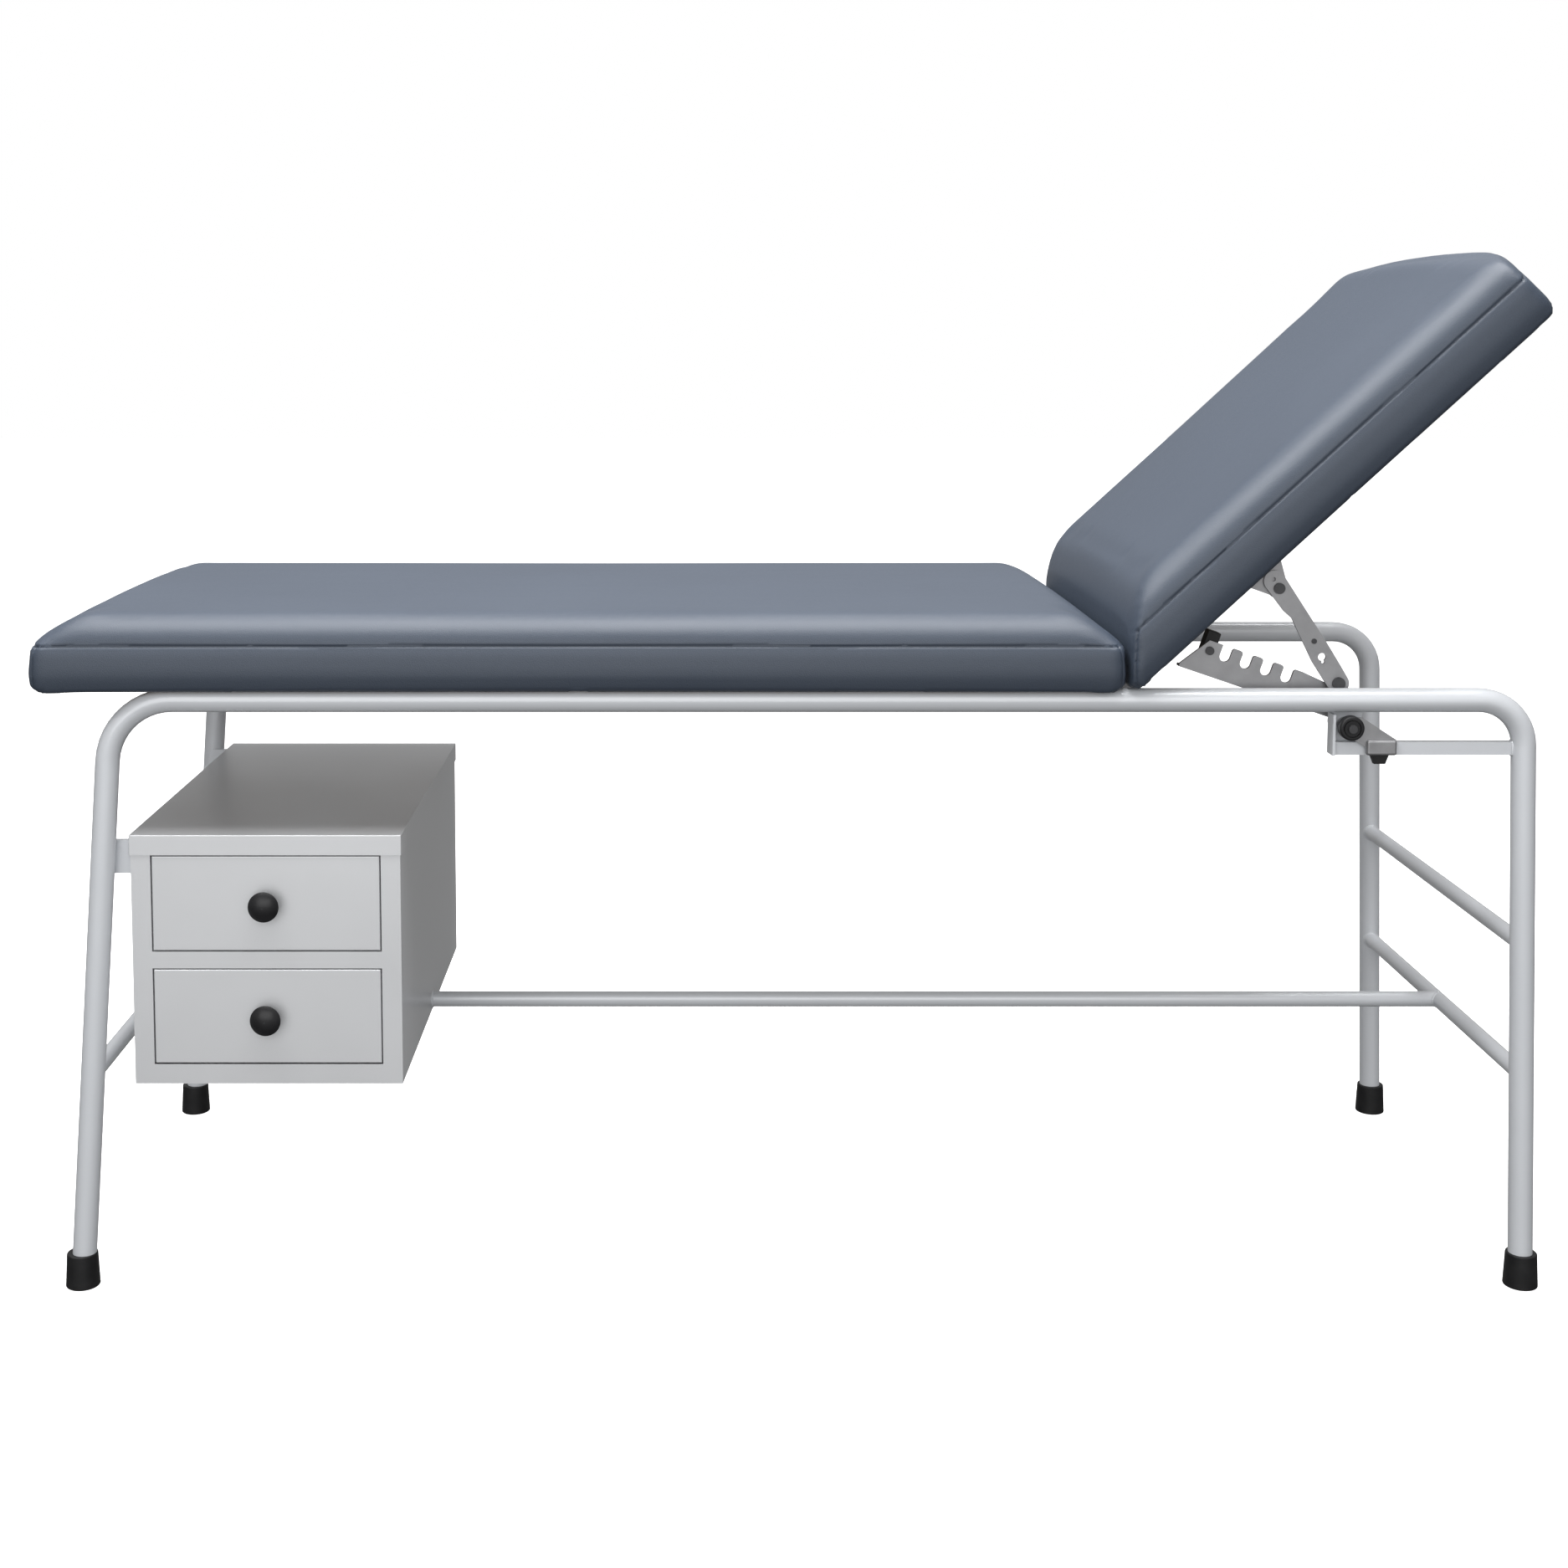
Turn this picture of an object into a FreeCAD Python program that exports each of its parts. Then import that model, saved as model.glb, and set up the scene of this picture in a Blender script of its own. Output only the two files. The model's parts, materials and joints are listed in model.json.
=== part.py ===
import FreeCAD, Part
import math
import os
from collections import namedtuple

# Examination table with a raised backrest, a tube frame and a cabinet of drawers.
# Millimetres. X runs from the foot end to the head end, Y from the drawer side to the
# back, Z up from the floor. The origin is the middle of the footprint's box.

# Driving dimensions: pads
pad_width = 620.0
seat_length = 1263.0
backrest_length = 686.0
backrest_bow = 38.0
pad_side = 52.0
pad_crown = 4.0
pad_shoulder_rise = 33.0
pad_shoulder_run = 45.0
pad_end_rise = 45.0
pad_end_fullness = 1.0
backrest_end_rise = 29.0
backrest_end_fullness = 0.5
backrest_head_rise = 8.0
backrest_head_fullness = 0.4
pad_bow_stations = (0.35, 0.6, 0.8)
pad_end_stations = (0.5, 1.0)
pad_mid_stations = (0.25, 0.5, 0.75)
pad_lean_fade = 0.25
pad_corner_radius = 14.0
pad_joint_radius = 16.0
pad_edge_radius = 4.0
pad_under_radius = 12.0
pad_draw_in = 4.0
pad_least_rise = 0.12
pad_side_bulge = 2.5
pad_side_lean = 3.0
pad_joint_gap = 3.5
pad_seat_gap = 0.3
board_thickness = 12.0
board_inset = 16.0
board_corner = 20.0

# Driving dimensions: tube frame
tube_od = 28.0
tube_wall = 1.5
rail_top = 717.0
rail_inset = 30.0
foot_overhang = 38.0
head_leg_from_latch = 224.0
foot_end_splay = 4.0
head_end_splay = 1.6
foot_end_bend = 77.0
head_end_bend = 54.0
rung_od = 20.0
rung_wall = 1.5
lower_rung_height = 257.0
upper_rung_height = 414.0
cross_tube_od = 25.0
cross_tube_wall = 1.5
foot_cross_inset = 210.0
hinge_cross_setback = 40.0
foot_radius = 20.0
foot_top_radius = 18.0
foot_height = 40.0
foot_floor = 6.0
foot_edge_fillet = 1.5

# Driving dimensions: seat fixing tabs
tab_length = 40.0
tab_reach = 34.0
tab_thickness = 4.0
tab_places = (0.14, 0.5, 0.86)
tab_screw_share = 0.6
wood_screw_radius = 2.5
wood_screw_length = 9.0
wood_screw_head_radius = 4.8
wood_screw_head_height = 3.0

# Driving dimensions: cabinet and drawers
cabinet_width = 316.0
cabinet_height = 299.0
cabinet_inset = 5.0
cabinet_bottom = 243.5
cabinet_from_foot = 66.5
same_place = 0.01
sheet = 1.5
lid_edge = 24.0
lid_overhang = 1.5
lid_fillet = 1.0
stile_width = 23.0
middle_rail_height = 20.0
bottom_rail_height = 23.5
face_thickness = 12.0
drawer_count = 2
drawer_reveal = 1.5
drawer_front_thickness = 12.0
drawer_front_fillet = 1.2
tray_wall = 1.5
tray_side_gap = 14.0
tray_height = 88.0
tray_back_gap = 22.0
runner_height = 12.0
runner_wall = 2.0
runner_play = 0.6
runner_setback = 20.0
strip_mouth_gap = 1.5
knob_radius = 18.0
knob_depth = 24.0
knob_stem_radius = 8.0
knob_neck_radius = 6.8
knob_flare_radius = 16.2
knob_flare_share = 0.4
knob_stem_length = 9.0
knob_dome = 7.0
knob_screw_radius = 2.0
knob_screw_head_radius = 4.0
knob_screw_head_height = 2.5
bracket_height = 40.0
bracket_drop = 7.0
bracket_thickness = 6.0
bracket_inset = 5.0
flange_width = 44.0
flange_height = 42.0
flange_thickness = 4.0

# Driving dimensions: backrest hinge
backrest_angle = 43.0
hinge_from_seat = 16.5
backrest_lift = 0.6
hinge_spread = 400.0
hinge_lug_thickness = 5.0
hinge_lug_radius = 13.0
hinge_ear_thickness = 5.0
hinge_ear_radius = 11.0
hinge_leaf_length = 90.0
hinge_leaf_width = 40.0
hinge_leaf_thickness = 4.0
hinge_leaf_start = 14.0
hinge_pin_radius = 5.0
hinge_pin_head_radius = 9.0
hinge_pin_head_height = 4.0
hinge_play = 0.5
hinge_web_half = 10.4
hinge_ear_run = 62.4
hinge_pin_end = 1.0
hinge_screw_places = (0.72, 0.92)
running_clearance = 0.05
cut_over = 1.0

# Driving dimensions: ratchet stay, seen square to the side of the table
strut_rail_clearance = 4.0
strut_thickness = 3.5
strut_pivot_along = 209.0
strut_pivot_drop = 34.0
strut_length = 133.0
strut_angle = -57.3
strut_half_width = 12.5
strut_waist = 6.0
strut_waist_place = 32.0
strut_waist_run = 6.0
strut_shoulder = 9.4
strut_head_start = 10.0
strut_head_end = 22.5
strut_swell = 1.0
strut_swell_start = 82.0
strut_swell_middle = 108.0
strut_foot_start = 94.0
strut_hole_place = 12.5
strut_rivet_place = 75.0
strut_rivet_offset = 2.0
strut_rivet_head = 1.5
strut_slot_place = 96.0
strut_hole_radius = 2.6
strut_rivet_radius = 3.0
strut_slot_radius = 4.6
strut_slot_tip_radius = 2.0
stay_bracket_thickness = 3.0
stay_bracket_half_length = 30.0
stay_bracket_foot = 26.0
stay_screw_spread = 0.65
stay_screw_setback = 0.6
stay_play = 0.4
pivot_bolt_radius = 4.0
pivot_bolt_head_radius = 6.5
pivot_bolt_head_height = 3.0
catch_pin_radius = 6.0
catch_pin_head_radius = 7.5
catch_pin_head_height = 3.0
catch_pin_gap = 0.6
rack_gap = 4.0
rack_thickness = 4.0
rack_slope = 18.9
rack_notches = 4
rack_notch_pitch = 25.4
rack_notch_width = 12.5
rack_notch_depth = 18.5
rack_tip_radius = 3.5
rack_pivot_to_bolt = 173.0
rack_body_height = 22.0
rack_start = 28.0
rack_first_notch = 19.3
rack_lobe_radius = 13.0
rack_heel_drop = 5.0
rack_heel_run = 60.0
rack_nose_run = 24.3
rack_nose_height = 4.0
rack_bolt_rise = 7.0
rack_flange_width = 13.0
rack_flange_thickness = 3.0
rack_bolt_radius = 3.0
rack_bolt_head_radius = 5.0
rack_bolt_head_height = 3.0
buffer_width = 15.0
buffer_height = 23.0
buffer_depth = 18.0
buffer_fillet = 2.0

# Driving dimensions: latch below the rail
latch_axle_from_hinge = 243.5
latch_axle_below_hinge = 30.0
latch_axle_radius = 5.0
latch_plate_thickness = 4.0
latch_plate_left = 18.5
latch_plate_right = 20.0
latch_plate_bottom = 34.0
latch_flange_depth = 18.0
latch_flange_thickness = 3.0
latch_flange_gap = 2.0
latch_plate_lap = 1.0
latch_bar_height = 15.0
latch_bar_depth = 12.0
lever_thickness = 3.5
lever_play = 0.5
lever_bar_gap = 2.0
lever_hub_radius = 12.5
lever_reach = 55.0
lever_drop = 33.0
lever_grip_height = 18.0
lever_grip_length = 35.0
lever_grip_depth = 5.0
lever_grip_fillet = 3.0
lever_tip_height = 10.0
lever_tip_wall = 2.0
lever_tip_lap = 3.0
lever_tip_slant = 5.0
lever_tip_left_inset = 4.0
lever_tip_right_inset = 8.0
lever_neck_run = 16.25
lever_neck_rise = 10.0
lever_heel_run = 3.75
bush_radius = 9.0
latch_knob_radius = 14.3
latch_knob_depth = 13.0
latch_knob_hub_radius = 9.0
latch_knob_dish_radius = 10.3
latch_knob_dish_depth = 2.5
latch_knob_fillet = 2.5
axle_end = 3.0
axle_inner_end = 2.0

# Derived frame positions
os.makedirs("parts", exist_ok=True)
V = FreeCAD.Vector
tube_radius = tube_od / 2
rung_radius = rung_od / 2
cross_radius = cross_tube_od / 2
rail_height = rail_top - tube_radius
half_pad = pad_width / 2
half_frame = half_pad - rail_inset
rail_inside = half_frame - tube_radius
foot_span = (
    seat_length - foot_overhang + hinge_from_seat + latch_axle_from_hinge + head_leg_from_latch
)
cabinet_depth = 2 * (half_frame - cabinet_inset)
strut_plane = strut_rail_clearance - rail_inside
latch_plate_plane = -rail_inside - latch_plate_lap
foot_end_x = -(foot_overhang + foot_span + foot_radius) / 2
foot_leg_x = foot_end_x + foot_overhang
head_leg_x = foot_leg_x + foot_span
seat_end_x = foot_end_x + seat_length
pad_bottom = rail_top + pad_seat_gap
hinge_x = seat_end_x + hinge_from_seat
hinge_z = rail_height
hinge_to_pad = rail_top + backrest_lift - hinge_z
cabinet_left = foot_leg_x + cabinet_from_foot
cabinet_right = cabinet_left + cabinet_width
cabinet_front = -cabinet_depth / 2
cabinet_back = cabinet_depth / 2
cabinet_top = cabinet_bottom + cabinet_height
face_back = cabinet_front + face_thickness
latch_x = hinge_x + latch_axle_from_hinge
latch_z = hinge_z - latch_axle_below_hinge
latch_plate_front = latch_plate_plane - latch_plate_thickness
latch_bar_front = latch_plate_front - latch_bar_depth
lever_back = latch_bar_front - lever_bar_gap
lever_front = lever_back - lever_thickness
latch_plate_low = latch_z - latch_plate_bottom
rack_front = strut_plane + strut_thickness + stay_bracket_thickness + rack_gap
rack_back = rack_front + rack_thickness


def save(node, shape):
    """Writes one node of the assembly as a STEP file."""
    shape.exportStep("parts/" + node + ".step")


def moved(shape, x, y, z):
    """A copy of the shape moved by the given amounts."""
    copy = shape.copy()
    copy.translate(V(x, y, z))
    return copy


def mirrored(shape):
    """The same shape on the other side of the table."""
    return shape.mirror(V(0, 0, 0), V(0, 1, 0))


def box(x0, x1, y0, y1, z0, z1):
    """A box between two corners."""
    return Part.makeBox(x1 - x0, y1 - y0, z1 - z0, V(x0, y0, z0))


def rod(radius, start, end):
    """A round bar from start to end."""
    return Part.makeCylinder(radius, (end - start).Length, start, end - start)


def rod_y(radius, x, y0, y1, z):
    """A round bar along Y."""
    return rod(radius, V(x, y0, z), V(x, y1, z))


def chain(items):
    """A closed wire from point lists: two points make a line, three an arc."""
    edges = []
    for item in items:
        if len(item) == 2:
            edges.append(Part.makeLine(item[0], item[1]))
        else:
            edges.append(Part.Arc(item[0], item[1], item[2]).toShape())
    return Part.Wire(edges)


def plate(items, y0, y1):
    """A flat plate between y0 and y1 whose outline is given by (x, z) lines and arcs."""
    wire = chain([[V(x, y0, z) for x, z in item] for item in items])
    return Part.Face(wire).extrude(V(0, y1 - y0, 0))


def rounded_path(points, bends):
    """A wire of straight runs through the points, with an arc of each given bend between them."""
    edges = []
    start = points[0]
    for before, corner, after, bend in zip(points, points[1:], points[2:], bends):
        into = (corner - before).normalize()
        out = (after - corner).normalize()
        turn = into.getAngle(out)
        back = bend * math.tan(turn / 2)
        first = corner - into * back
        last = corner + out * back
        inward = (out - into).normalize()
        middle = corner + inward * (bend / math.cos(turn / 2) - bend)
        edges.append(Part.makeLine(start, first))
        edges.append(Part.Arc(first, middle, last).toShape())
        start = last
    edges.append(Part.makeLine(start, points[-1]))
    return Part.Wire(edges)


def bent_bar(points, bends, radius):
    """A solid round bar bent along the points."""
    start = points[0]
    along = points[1] - points[0]
    ring = Part.Wire(Part.makeCircle(radius, start, along))
    return rounded_path(points, bends).makePipeShell([ring], True, False)


def straight_tube(start, end, radius, wall, trims):
    """A hollow tube from start to end, coped against the solids in trims."""
    tube = rod(radius, start, end).cut(rod(radius - wall, start, end))
    for trim in trims:
        tube = tube.cut(trim)
    return max(tube.Solids, key=lambda solid: solid.Volume)


def leg_x(base, splay, height):
    """Where a splayed leg's centre line is at a height above the floor."""
    return base + height * math.tan(math.radians(splay))


# Side frames: each is one tube bent into a leg, a rail and a leg
def side_points(y):
    """The corners of a side frame's centre line, from the foot-end foot to the head-end foot."""
    foot_top = leg_x(foot_leg_x, foot_end_splay, rail_height)
    head_top = leg_x(head_leg_x, -head_end_splay, rail_height)
    return [
        V(leg_x(foot_leg_x, foot_end_splay, foot_floor), y, foot_floor),
        V(foot_top, y, rail_height),
        V(head_top, y, rail_height),
        V(leg_x(head_leg_x, -head_end_splay, foot_floor), y, foot_floor),
    ]


def leg_end_cut(y):
    """What trims the tube ends level, at the height of the ferrules' floors."""
    span = foot_span + 4 * foot_radius
    return box(-span, span, y - 2 * foot_radius, y + 2 * foot_radius, -foot_height, foot_floor)


bends = [foot_end_bend, head_end_bend]
near_solid = bent_bar(side_points(-half_frame), bends, tube_radius)
near_core = bent_bar(side_points(-half_frame), bends, tube_radius - tube_wall)
near_solid = near_solid.cut(leg_end_cut(-half_frame))
side_frame_near = near_solid.cut(near_core)
far_solid = mirrored(near_solid)
side_frame_far = mirrored(side_frame_near)
save("side_frame_near", side_frame_near)
save("side_frame_far", side_frame_far)


def rung(base, splay, height, radius, wall):
    """A cross tube between the two legs of one end, coped to them."""
    x = leg_x(base, splay, height)
    start = V(x, -half_frame, height)
    end = V(x, half_frame, height)
    return straight_tube(start, end, radius, wall, [near_solid, far_solid])


head_lower_rung = rung(head_leg_x, -head_end_splay, lower_rung_height, rung_radius, rung_wall)
head_upper_rung = rung(head_leg_x, -head_end_splay, upper_rung_height, rung_radius, rung_wall)
foot_lower_rung = rung(foot_leg_x, foot_end_splay, lower_rung_height, rung_radius, rung_wall)
save("head_lower_rung", head_lower_rung)
save("head_upper_rung", head_upper_rung)
save("foot_lower_rung", foot_lower_rung)


def cross_tube(x):
    """A tube under the pads from rail to rail, coped to them."""
    start = V(x, -half_frame, rail_height)
    end = V(x, half_frame, rail_height)
    return straight_tube(start, end, cross_radius, cross_tube_wall, [near_solid, far_solid])


hinge_cross_x = hinge_x - hinge_cross_setback
foot_cross_tube = cross_tube(foot_leg_x + foot_cross_inset)
hinge_cross_tube = cross_tube(hinge_cross_x)
save("foot_cross_tube", foot_cross_tube)
save("hinge_cross_tube", hinge_cross_tube)


# Ferrules: rubber cups pushed over the ends of the legs
def ferrule(x, y, leg):
    """A tapered cup round the end of one leg, flat below."""
    cup = Part.makeCone(foot_radius, foot_top_radius, foot_height, V(x, y, 0))
    rims = [edge for edge in cup.Edges if isinstance(edge.Curve, Part.Circle)]
    cup = cup.makeFillet(foot_edge_fillet, rims)
    return cup.cut(leg).cut(leg_bore(x, y))


def leg_bore(x, y):
    """The inside of a leg above the ferrule's floor, which stays empty."""
    splay = foot_end_splay if x < 0 else -head_end_splay
    low = V(leg_x(x, splay, foot_floor), y, foot_floor)
    high = V(leg_x(x, splay, 2 * foot_height), y, 2 * foot_height)
    return rod(tube_radius - tube_wall / 2, low, high)


for side, y, leg in (("near", -half_frame, near_solid), ("far", half_frame, far_solid)):
    save("foot_end_ferrule_" + side, ferrule(foot_leg_x, y, leg))
    save("head_end_ferrule_" + side, ferrule(head_leg_x, y, leg))


# Cabinet: folded sheet panels behind a face of stiles and rails
inner_left = cabinet_left + sheet
inner_right = cabinet_right - sheet
lid_bottom = cabinet_top - lid_edge
side_low = cabinet_bottom
left_side = box(cabinet_left, inner_left, cabinet_front, cabinet_back, side_low, lid_bottom)
right_side = box(inner_right, cabinet_right, cabinet_front, cabinet_back, side_low, lid_bottom)
floor_top = cabinet_bottom + sheet
bottom_top = cabinet_bottom + bottom_rail_height
window_left = cabinet_left + stile_width
window_right = cabinet_right - stile_width
stretcher_hole = rod(
    rung_radius,
    V(inner_right - cut_over, 0, lower_rung_height),
    V(cabinet_right + cut_over, 0, lower_rung_height),
)
right_side = right_side.cut(stretcher_hole)
floor = box(inner_left, inner_right, face_back, cabinet_back - sheet, cabinet_bottom, floor_top)
apron = box(window_left, window_right, cabinet_front, face_back, cabinet_bottom, floor_top)
lip = box(window_left, window_right, cabinet_front, cabinet_front + sheet, cabinet_bottom, bottom_top)
bottom_pan = floor.fuse(apron).fuse(lip).removeSplitter()
back_panel = box(inner_left, inner_right, cabinet_back - sheet, cabinet_back, cabinet_bottom, lid_bottom)
lid = box(
    cabinet_left - lid_overhang,
    cabinet_right + lid_overhang,
    cabinet_front - lid_overhang,
    cabinet_back + lid_overhang,
    lid_bottom,
    cabinet_top,
)
lid = lid.makeFillet(lid_fillet, [e for e in lid.Edges if e.CenterOfMass.z > lid_bottom + lid_fillet])
lid = lid.cut(
    box(
        cabinet_left - lid_overhang + sheet,
        cabinet_right + lid_overhang - sheet,
        cabinet_front - lid_overhang + sheet,
        cabinet_back + lid_overhang - sheet,
        lid_bottom,
        cabinet_top - sheet,
    )
)
save("cabinet_left_side", left_side)
save("cabinet_right_side", right_side)
save("cabinet_bottom_pan", bottom_pan)
save("cabinet_back_panel", back_panel)
save("cabinet_lid", lid)

window_height = (lid_bottom - bottom_top - (drawer_count - 1) * middle_rail_height) / drawer_count
stiles = Part.makeCompound(
    [
        box(inner_left, window_left, cabinet_front, face_back, cabinet_bottom, lid_bottom),
        box(window_right, inner_right, cabinet_front, face_back, cabinet_bottom, lid_bottom),
    ]
)
save("cabinet_stiles", stiles)
middle_rail = box(
    window_left,
    window_right,
    cabinet_front,
    face_back,
    bottom_top + window_height,
    bottom_top + window_height + middle_rail_height,
)
save("cabinet_middle_rail", middle_rail)


# Drawers: a tray hung on two runners, with a front, a knob and its screw
tray_left = window_left + tray_side_gap - runner_wall
tray_right = window_right - tray_side_gap + runner_wall
runner_length = cabinet_depth - face_thickness - runner_setback
strip_width = tray_left - window_left - drawer_reveal - strip_mouth_gap
runners = []


def drawer(name, low):
    """One drawer in the window that starts at the height low, and its cabinet runners."""
    front = box(
        window_left + drawer_reveal,
        window_right - drawer_reveal,
        cabinet_front,
        cabinet_front + drawer_front_thickness,
        low + drawer_reveal,
        low + window_height - drawer_reveal,
    )
    face_edges = [e for e in front.Edges if abs(e.CenterOfMass.y - cabinet_front) < same_place]
    front = front.makeFillet(drawer_front_fillet, face_edges)
    tray_front = cabinet_front + drawer_front_thickness
    tray_back = cabinet_back - tray_back_gap
    tray_low = low + 2 * drawer_reveal
    tray = box(tray_left, tray_right, tray_front, tray_back, tray_low, tray_low + tray_height)
    tray = tray.cut(
        box(
            tray_left + tray_wall,
            tray_right - tray_wall,
            tray_front + tray_wall,
            tray_back - tray_wall,
            tray_low + tray_wall,
            tray_low + tray_height,
        )
    )
    middle_x = (window_left + window_right) / 2
    middle_z = low + window_height / 2
    runner_low = tray_low + tray_height / 2
    strips = []
    for wall_x, side_x, way in ((inner_left, tray_left, 1), (inner_right, tray_right, -1)):
        reach = abs(side_x - wall_x) - runner_play
        start_y = face_back
        end_y = face_back + runner_length
        upright = sorted((wall_x, wall_x + way * runner_wall))
        shelf = sorted((wall_x, wall_x + way * reach))
        angle = box(upright[0], upright[1], start_y, end_y, runner_low, runner_low + runner_height)
        ledge = box(shelf[0], shelf[1], start_y, end_y, runner_low, runner_low + runner_wall)
        runners.append(angle.fuse(ledge).removeSplitter())
        strip = sorted((side_x, side_x - way * strip_width))
        strip_low = runner_low + runner_wall + runner_play / 2
        strips.append(
            box(strip[0], strip[1], tray_front, tray_back, strip_low, strip_low + runner_wall)
        )
    screw_head_y = tray_front + tray_wall
    screw_end_y = cabinet_front - knob_stem_length
    screw = rod_y(knob_screw_radius, middle_x, screw_end_y, screw_head_y, middle_z)
    head_end = screw_head_y + knob_screw_head_height
    screw = screw.fuse(rod_y(knob_screw_head_radius, middle_x, screw_head_y, head_end, middle_z))
    save(name + "_drawer_front", front.cut(screw))
    save(name + "_drawer_tray", tray.cut(screw))
    save(name + "_drawer_strips", Part.makeCompound(strips))
    save(name + "_drawer_knob", knob(middle_x, middle_z).cut(screw))
    save(name + "_drawer_knob_screw", screw.removeSplitter())


def knob(x, z):
    """A mushroom knob that stands out from a drawer front."""
    rim_start = knob_stem_length
    rim_end = knob_depth - knob_dome
    dome_radius = (knob_radius**2 + knob_dome**2) / (2 * knob_dome)
    half_turn = math.asin(knob_radius / dome_radius) / 2
    dome_middle = knob_depth - dome_radius * (1 - math.cos(half_turn))
    profile = chain(
        [
            [V(0, 0, 0), V(knob_stem_radius, 0, 0)],
            [V(knob_stem_radius, 0, 0), V(knob_neck_radius, 0, rim_start)],
            [
                V(knob_neck_radius, 0, rim_start),
                V(knob_flare_radius, 0, rim_start + (rim_end - rim_start) * knob_flare_share),
                V(knob_radius, 0, rim_end),
            ],
            [
                V(knob_radius, 0, rim_end),
                V(dome_radius * math.sin(half_turn), 0, dome_middle),
                V(0, 0, knob_depth),
            ],
            [V(0, 0, knob_depth), V(0, 0, 0)],
        ]
    )
    body = Part.Face(profile).revolve(V(0, 0, 0), V(0, 0, 1), 360)
    body.rotate(V(0, 0, 0), V(1, 0, 0), 90)
    return moved(body, x, cabinet_front, z)


drawer("lower", bottom_top)
drawer("upper", bottom_top + window_height + middle_rail_height)
save("cabinet_runners", Part.makeCompound(runners))


# Cabinet brackets: flat straps from the foot-end legs to the cabinet's side
def cabinet_bracket(leg_solid, y0, y1):
    """A strap coped to the leg and butted against the cabinet."""
    top = cabinet_top - bracket_drop
    start = leg_x(foot_leg_x, foot_end_splay, top)
    strap = box(start, cabinet_left, y0, y1, top - bracket_height, top).cut(leg_solid).cut(lid)
    return max(strap.Solids, key=lambda solid: solid.CenterOfMass.x)


bracket_y = cabinet_front + bracket_inset
near_bracket = cabinet_bracket(near_solid, bracket_y, bracket_y + bracket_thickness)
save("cabinet_bracket_near", near_bracket)
save("cabinet_bracket_far", mirrored(near_bracket))

# Stretcher: from a flange inside the cabinet's side to the middle of the head-end lower rung
stretcher_end = leg_x(head_leg_x, -head_end_splay, lower_rung_height)
rung_bar = rod(
    rung_radius,
    V(stretcher_end, -half_frame, lower_rung_height),
    V(stretcher_end, half_frame, lower_rung_height),
)
stretcher = straight_tube(
    V(inner_right, 0, lower_rung_height),
    V(stretcher_end, 0, lower_rung_height),
    rung_radius,
    rung_wall,
    [rung_bar],
)
save("stretcher", stretcher)
flange = box(
    inner_right - flange_thickness,
    inner_right,
    -flange_width / 2,
    flange_width / 2,
    floor_top,
    floor_top + flange_height,
)
save("stretcher_flange", flange)


# Pads: crowned cushions on boards, with a seam line round the top of the sides
def pad_section(run, half, low, side, share, lean, to_point):
    """A cross-section of a pad: flat below, bulging sides, rounded shoulders, crowned top."""
    across = half - pad_side_lean
    shoulder = side + pad_shoulder_rise * share
    top = side + (pad_shoulder_rise + pad_crown) * share
    top_half = half - pad_shoulder_run
    middle = (low + side) / 2
    shoulder_out = half - pad_shoulder_run * (1 - math.cos(math.radians(45)))
    shoulder_up = side + (shoulder - side) * math.sin(math.radians(45))

    def at(v, w):
        return to_point(run + lean * w, v, w)

    return chain(
        [
            [at(-across, low), at(across, low)],
            [at(across, low), at(half + pad_side_bulge, middle), at(half, side)],
            [at(half, side), at(shoulder_out, shoulder_up), at(top_half, shoulder)],
            [at(top_half, shoulder), at(0, top), at(-top_half, shoulder)],
            [at(-top_half, shoulder), at(-shoulder_out, shoulder_up), at(-half, side)],
            [at(-half, side), at(-half - pad_side_bulge, middle), at(-across, low)],
        ]
    )


PadEnd = namedtuple("PadEnd", "bow corner rise fullness")


def end_stations(end):
    """Stations from a pad's end, each with its run, inset, share of the corner's turn and rise."""
    stations = []
    if end.bow:
        first = pad_bow_stations[0]
        for share in pad_bow_stations:
            run = end.bow * (share**2 - first**2) / (1 - first**2)
            stations.append((run, half_pad - (half_pad - end.corner) * share, 0.0))
    for step in (0, 30, 60, 90):
        angle = math.radians(step)
        turn = math.sin(angle)
        stations.append((end.bow + end.corner * (1 - math.cos(angle)), end.corner * (1 - turn), turn))
    stations += [(end.bow + end.corner + end.rise * share, 0.0, 1.0) for share in pad_end_stations]
    whole = end.bow + end.corner + end.rise
    shaped = []
    for run, inset, turn in stations:
        rise = math.sin(math.radians(90 * run / whole)) ** end.fullness
        shaped.append((run, inset, turn, max(pad_least_rise, rise)))
    return shaped


def cushion(length, first, last, low, first_lean, to_point):
    """A pad of the given length lofted through its stations, with sides drawn in at mid-length."""
    stations = end_stations(first)
    stations += [(length * place, 0.0, 1.0, 1.0) for place in pad_mid_stations]
    for run, inset, turn, rise in reversed(end_stations(last)):
        stations.append((length - run, inset, turn, rise))
    wires = []
    for run, inset, turn, rise in stations:
        place = run / length
        draw_in = pad_draw_in * (1 - (2 * place - 1) ** 2)
        half = half_pad - pad_side_bulge - draw_in - inset
        side = low + pad_side - pad_edge_radius * (1 - turn)
        bottom = low + pad_under_radius * (1 - turn)
        lean = first_lean * max(0.0, 1 - place / pad_lean_fade)
        wires.append(pad_section(run, half, bottom, side, rise, lean, to_point))
    return Part.makeLoft(wires, True, True)


def board(length, start, low, to_shape):
    """The plywood board under a pad, with rounded corners."""
    half = half_pad - board_inset
    slab = box(start + board_inset, length - board_inset, -half, half, low, low + board_thickness)
    uprights = [e for e in slab.Edges if abs(e.tangentAt(e.FirstParameter).z) > 0.9]
    return to_shape(slab.makeFillet(board_corner, uprights))


def seat_point(u, v, w):
    """A point of the seat from its run, width and height."""
    return V(foot_end_x + u, v, w)


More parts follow.
